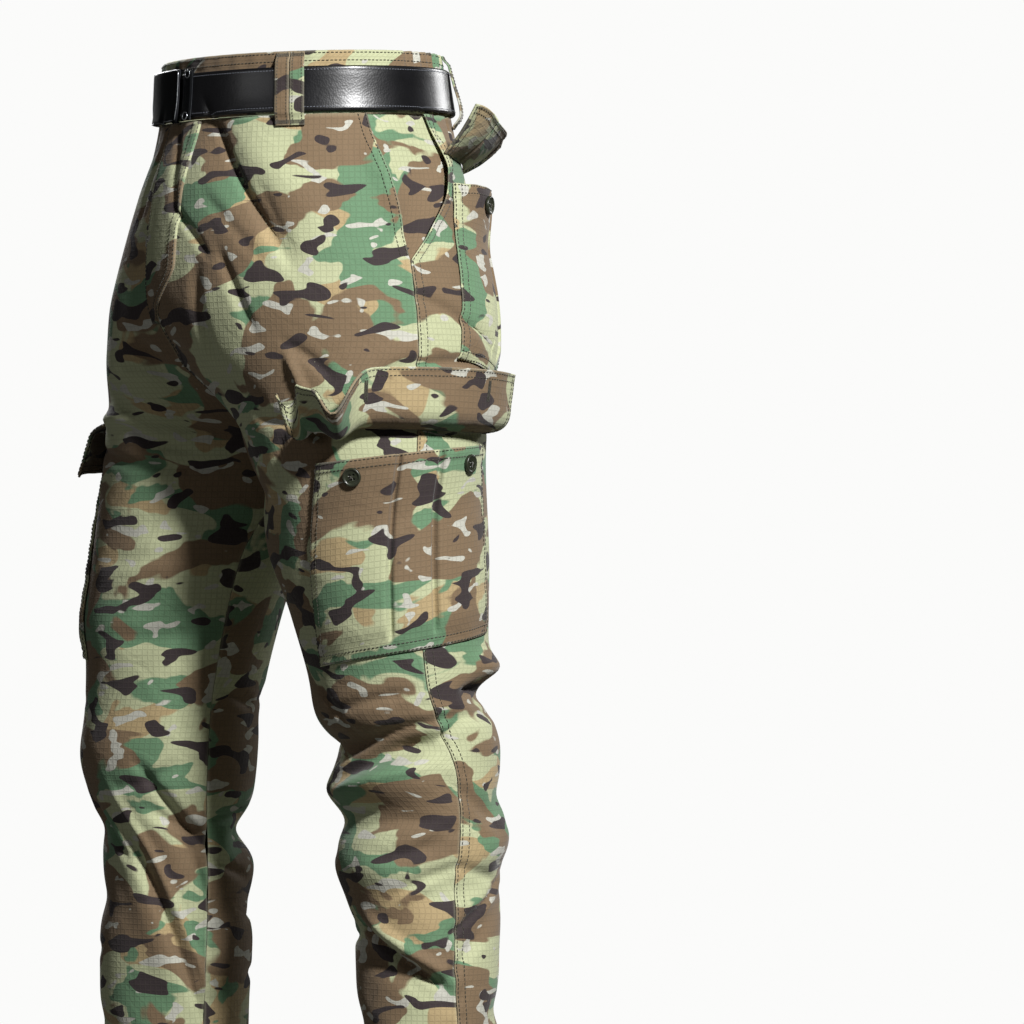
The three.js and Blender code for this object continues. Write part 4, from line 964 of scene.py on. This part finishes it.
# Belt
# One strap of glossy black leather, 36 mm wide, with a row of stitches along each edge. It runs through the
# loops and both of its ends lie behind the buckle.
BELT_TOP, BELT_BOTTOM, BELT_OUT, BELT_THICK = -13.0, -49.0, 4.4, 3.0

# Black finished leather: fine grain, an uneven polish and a few faint bends
leather, tree, out = new_material("polished_black_leather")
where = add_node(tree, "TexCoord")
pores = add_node(tree, "TexVoronoi", {"Vector": where.outputs["Object"], "Scale": 620.0})
wear = add_node(tree, "TexNoise", {"Vector": where.outputs["Object"], "Scale": 34.0, "Detail": 4.0})
tone = two_tones(tree, wear.outputs["Fac"], "050506", "101013")
polish = add_node(tree, "MapRange", {"Value": wear.outputs["Fac"], "To Min": 0.27, "To Max": 0.4})
bends = add_node(tree, "Bump", {"Height": wear.outputs["Fac"], "Strength": 0.12, "Distance": 0.003})
grain = add_node(tree, "Bump", {"Height": pores.outputs["Distance"], "Normal": bends.outputs[0],
                                "Strength": 0.2, "Distance": 0.0003})
hide = add_node(tree, "BsdfPrincipled", {"Base Color": tone, "Roughness": polish.outputs[0], "Coat Weight": 0.3,
                                         "Coat Roughness": 0.2, "Normal": grain.outputs[0]})
tree.links.new(hide.outputs[0], out.inputs["Surface"])

# Bonded nylon thread, grey on the black strap
belt_thread, tree, out = new_material("bonded_grey_thread")
where = add_node(tree, "TexCoord")
twist = add_node(tree, "TexNoise", {"Vector": where.outputs["Object"], "Scale": 800.0})
tone = two_tones(tree, twist.outputs["Fac"], "4c4f57", "90949e")
fibre = add_node(tree, "BsdfPrincipled", {"Base Color": tone, "Roughness": 0.4})
tree.links.new(fibre.outputs[0], out.inputs["Surface"])

turns = np.linspace(-6, 353.4, 541)[None, :]
z = np.array([-13, -13.25, -13.8, -14.6, -15.8, -18, -21, -25, -29, -33, -37, -41, -44, -46.2, -47.4, -48.2,
              -48.75, -49])[:, None]
edge_drop = np.minimum(BELT_TOP - z, z - BELT_BOTTOM)
out_by = BELT_OUT - 1.1 * np.exp(-(edge_drop / 0.7) ** 2) - 0.35 * np.exp(-((edge_drop - 3.4) / 0.6) ** 2)
grid = waist(turns, z, np.broadcast_to(out_by, (18, 541)))
strap = cloth_wall("leather_belt", grid, BELT_THICK - 0.6, -1, (0, 0), finishes=(leather, leather))
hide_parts("belt")
belt_lines = [inset(grid, -1, side, 3.4) for side in ("top", "bottom")]
belt_rows = sew("belt_edge_rows", belt_lines, pitch=2.6, long=1.9, thick=0.3, finish=belt_thread)

# Buckle and clamp
# A black plated plate buckle with a bare bright edge, riveted on; beside it a narrow clamp that holds the
# strap's end, with a bright round head at both ends.
BUCKLE_X, BUCKLE_Z = (-46, 14), (-9, -52)
CLAMP_X, CLAMP_Z = (19, 31), (-10.5, -51)
WAIST_HALF_WIDTH = 136


def metal(name, dark, light, rough, scale, strength):
    """Plated metal: an uneven tone and roughness, and a fine brushed or cast bump."""
    material, tree, out = new_material(name)
    where = add_node(tree, "TexCoord")
    spots = add_node(tree, "TexNoise", {"Vector": where.outputs["Object"], "Scale": scale, "Detail": 3.0})
    tone = two_tones(tree, spots.outputs["Fac"], dark, light)
    rough_at = add_node(tree, "MapRange", {"Value": spots.outputs["Fac"], "To Min": rough - 0.06,
                                           "To Max": rough + 0.08})
    fine = add_node(tree, "Bump", {"Height": spots.outputs["Fac"], "Strength": strength, "Distance": 0.0002})
    plated = add_node(tree, "BsdfPrincipled", {"Base Color": tone, "Roughness": rough_at.outputs[0],
                                               "Metallic": 0.9, "Normal": fine.outputs[0]})
    tree.links.new(plated.outputs[0], out.inputs["Surface"])
    return material


# Black plating over die-cast zinc
black_plate = metal("black_plated_zinc", "161719", "26282b", 0.42, 300.0, 0.2)
# The same zinc where the plating is polished off the edge
bright_edge = metal("polished_zinc_edge", "8f9398", "c9ccd0", 0.24, 500.0, 0.1)


def front_place(x, z, out_by):
    """Places at x from the middle of the front: the turn is asin(x / 136)."""
    return waist(np.degrees(np.arcsin(x / WAIST_HALF_WIDTH)), z, out_by)


def plate(name, x_span, z_span, top, crown, finish, count):
    """A plate with a rounded border: its top falls off by 1.1 exp(-(distance to the border / 0.8)^2)."""
    border = np.array([0, 0.25, 0.6, 1.1, 1.8, 2.8])
    spread = lambda low, high, n: np.concatenate([low + border, np.linspace(low + 3.6, high - 3.6, n),
                                                  (high - border)[::-1]])
    x = spread(x_span[0], x_span[1], count)[None, :]
    z = -spread(-z_span[0], -z_span[1], 18)[:, None]
    near = np.minimum(np.minimum(x - x_span[0], x_span[1] - x), np.minimum(z_span[0] - z, z - z_span[1]))
    middle = (x_span[0] + x_span[1]) / 2
    bulge = crown * (1 - ((x - middle) / (x_span[1] - x_span[0]) * 2) ** 2)
    grid = front_place(np.broadcast_to(x, near.shape), np.broadcast_to(z, near.shape),
                       BELT_OUT + top - 1.1 * np.exp(-(near / 0.8) ** 2) + bulge)
    return cloth_wall(name, grid, top - 0.5, -1, (0, 0), finishes=(finish, finish))


def edge_bead(name, x_span, z_span, out_by, thick, finish):
    """A closed bead of the given thickness along a rounded rectangle on the waist."""
    corner = 3.0
    quarter = np.linspace(0, np.pi / 2, 7)
    corners = [(x_span[1] - corner, z_span[0] - corner, 0), (x_span[0] + corner, z_span[0] - corner, 1),
               (x_span[0] + corner, z_span[1] + corner, 2), (x_span[1] - corner, z_span[1] + corner, 3)]
    path = np.concatenate([np.stack([cx + corner * np.cos(quarter + k * np.pi / 2),
                                     cz + corner * np.sin(quarter + k * np.pi / 2)], axis=1)
                           for cx, cz, k in corners])
    path = np.concatenate([path, path[:1]])
    run = np.concatenate([[0], np.cumsum(np.linalg.norm(np.diff(path, axis=0), axis=1))])
    at = np.linspace(0, run[-1], 161)[:-1]
    x, z = (np.interp(at, run, path[:, k]) for k in (0, 1))
    line, above = front_place(x, z, np.full(160, out_by)), front_place(x, z, np.full(160, out_by + 1.0))
    up = unit(above - line)
    way = unit(np.roll(line, -1, axis=0) - np.roll(line, 1, axis=0))
    aside = np.cross(way, up)
    turn = np.linspace(0, 2 * np.pi, 9)[:-1]
    places = line[:, None] + thick / 2 * (np.cos(turn)[None, :, None] * aside[:, None]
                                          + np.sin(turn)[None, :, None] * up[:, None])
    j, i = np.meshgrid(np.arange(160), np.arange(8), indexing="ij")
    next_i, next_j = (i + 1) % 8, (j + 1) % 160
    faces = np.stack([j * 8 + i, j * 8 + next_i, next_j * 8 + next_i, next_j * 8 + i], axis=-1)
    return put_mesh(name, places.reshape(-1, 3), faces.reshape(-1, 4).tolist(), (finish,))


buckle_plate = plate("plated_buckle", BUCKLE_X, BUCKLE_Z, 3.6, 0.4, black_plate, 26)
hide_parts("buckle")
buckle_edge = edge_bead("buckle_bright_edge", (BUCKLE_X[0] + 0.9, BUCKLE_X[1] - 0.9),
                        (BUCKLE_Z[0] - 0.9, BUCKLE_Z[1] + 0.9), BELT_OUT + 3.3, 0.9, bright_edge)
clamp = plate("plated_clamp", CLAMP_X, CLAMP_Z, 2.2, 0.2, black_plate, 8)
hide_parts("buckle_clamp")
for place, z in (("upper", CLAMP_Z[0] - 3), ("lower", CLAMP_Z[1] + 3)):
    x = sum(CLAMP_X) / 2
    head = edge_bead(f"clamp_{place}_head", (x - 3.1, x + 3.1), (z + 3.1, z - 3.1), BELT_OUT + 2.2, 0.9,
                     bright_edge)

# Belt loops
# Folded strips of the cloth, 12 mm wide, with a row along both edges and a dense bar at both ends. Two stand
# side by side at each side of the front; those behind the sides are pulled off the belt and stand slack.
LOOP_COLUMNS = ("z", "out")
LOOP_PATH = dict(zip(LOOP_COLUMNS, np.array([
    (-1, 1.0), (-4, 1.6), (-10, 5.0), (-30, 5.4), (-50, 5.0), (-55, 2.2), (-60, 1.0),
]).T))
LOOPS = {"loop_front_left_a": 52.2, "loop_front_left_b": 57.8, "loop_front_right_a": 307.8,
         "loop_front_right_b": 302.2, "loop_back_left": 142, "loop_back_right": 218, "loop_centre_back": 180}
LOOP_WIDTH, LOOP_WALL, LOOP_SLACK, LOOP_PER_DEGREE = 12.0, 1.3, 4.0, 2.25
for count, (name, middle) in enumerate(LOOPS.items()):
    z = np.linspace(-1, -60, 66)[:, None]
    u = np.concatenate([[-0.5, -0.485, -0.46, -0.43], np.linspace(-0.38, 0.38, 11), [0.43, 0.46, 0.485, 0.5]])
    u = u[None, :]
    slack = LOOP_SLACK if name in ("loop_back_left", "loop_back_right") else 0
    out_by = read(LOOP_PATH, "out", z) + slack * smooth((-10 - z) / 36) * smooth((z + 59.5) / 6) + LOOP_WALL
    near = (0.5 - np.abs(u)) * LOOP_WIDTH
    drawn_in = 0.12 * np.sin(z / 1.9) * np.exp(-((near - 3) / 2) ** 2)
    out_by = out_by - 0.4 * np.exp(-(near / 0.6) ** 2) + drawn_in
    turn_at = middle + u * LOOP_WIDTH / LOOP_PER_DEGREE
    grid = waist(np.broadcast_to(turn_at, out_by.shape), np.broadcast_to(z, out_by.shape), out_by)
    strip = cloth_wall(f"cloth_{name}", grid, LOOP_WALL - 0.2, -1, (41.0 + 1.3 * count, 0.7),
                       finishes=(cloth_face, cloth_face))
    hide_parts(name)
    long_lines = [inset(grid, -1, side, 2.2) for side in ("start", "end")]
    long_rows = sew(f"{name}_rows", long_lines, pitch=2.6, long=1.9, thick=0.34)
    bars = [inset(grid, -1, "top", d) for d in (2.2, 3.6)] + [inset(grid, -1, "bottom", d) for d in (2.0, 3.4)]
    end_bars = sew(f"{name}_bars", bars, pitch=0.9, long=2.2, thick=0.34, across=True)
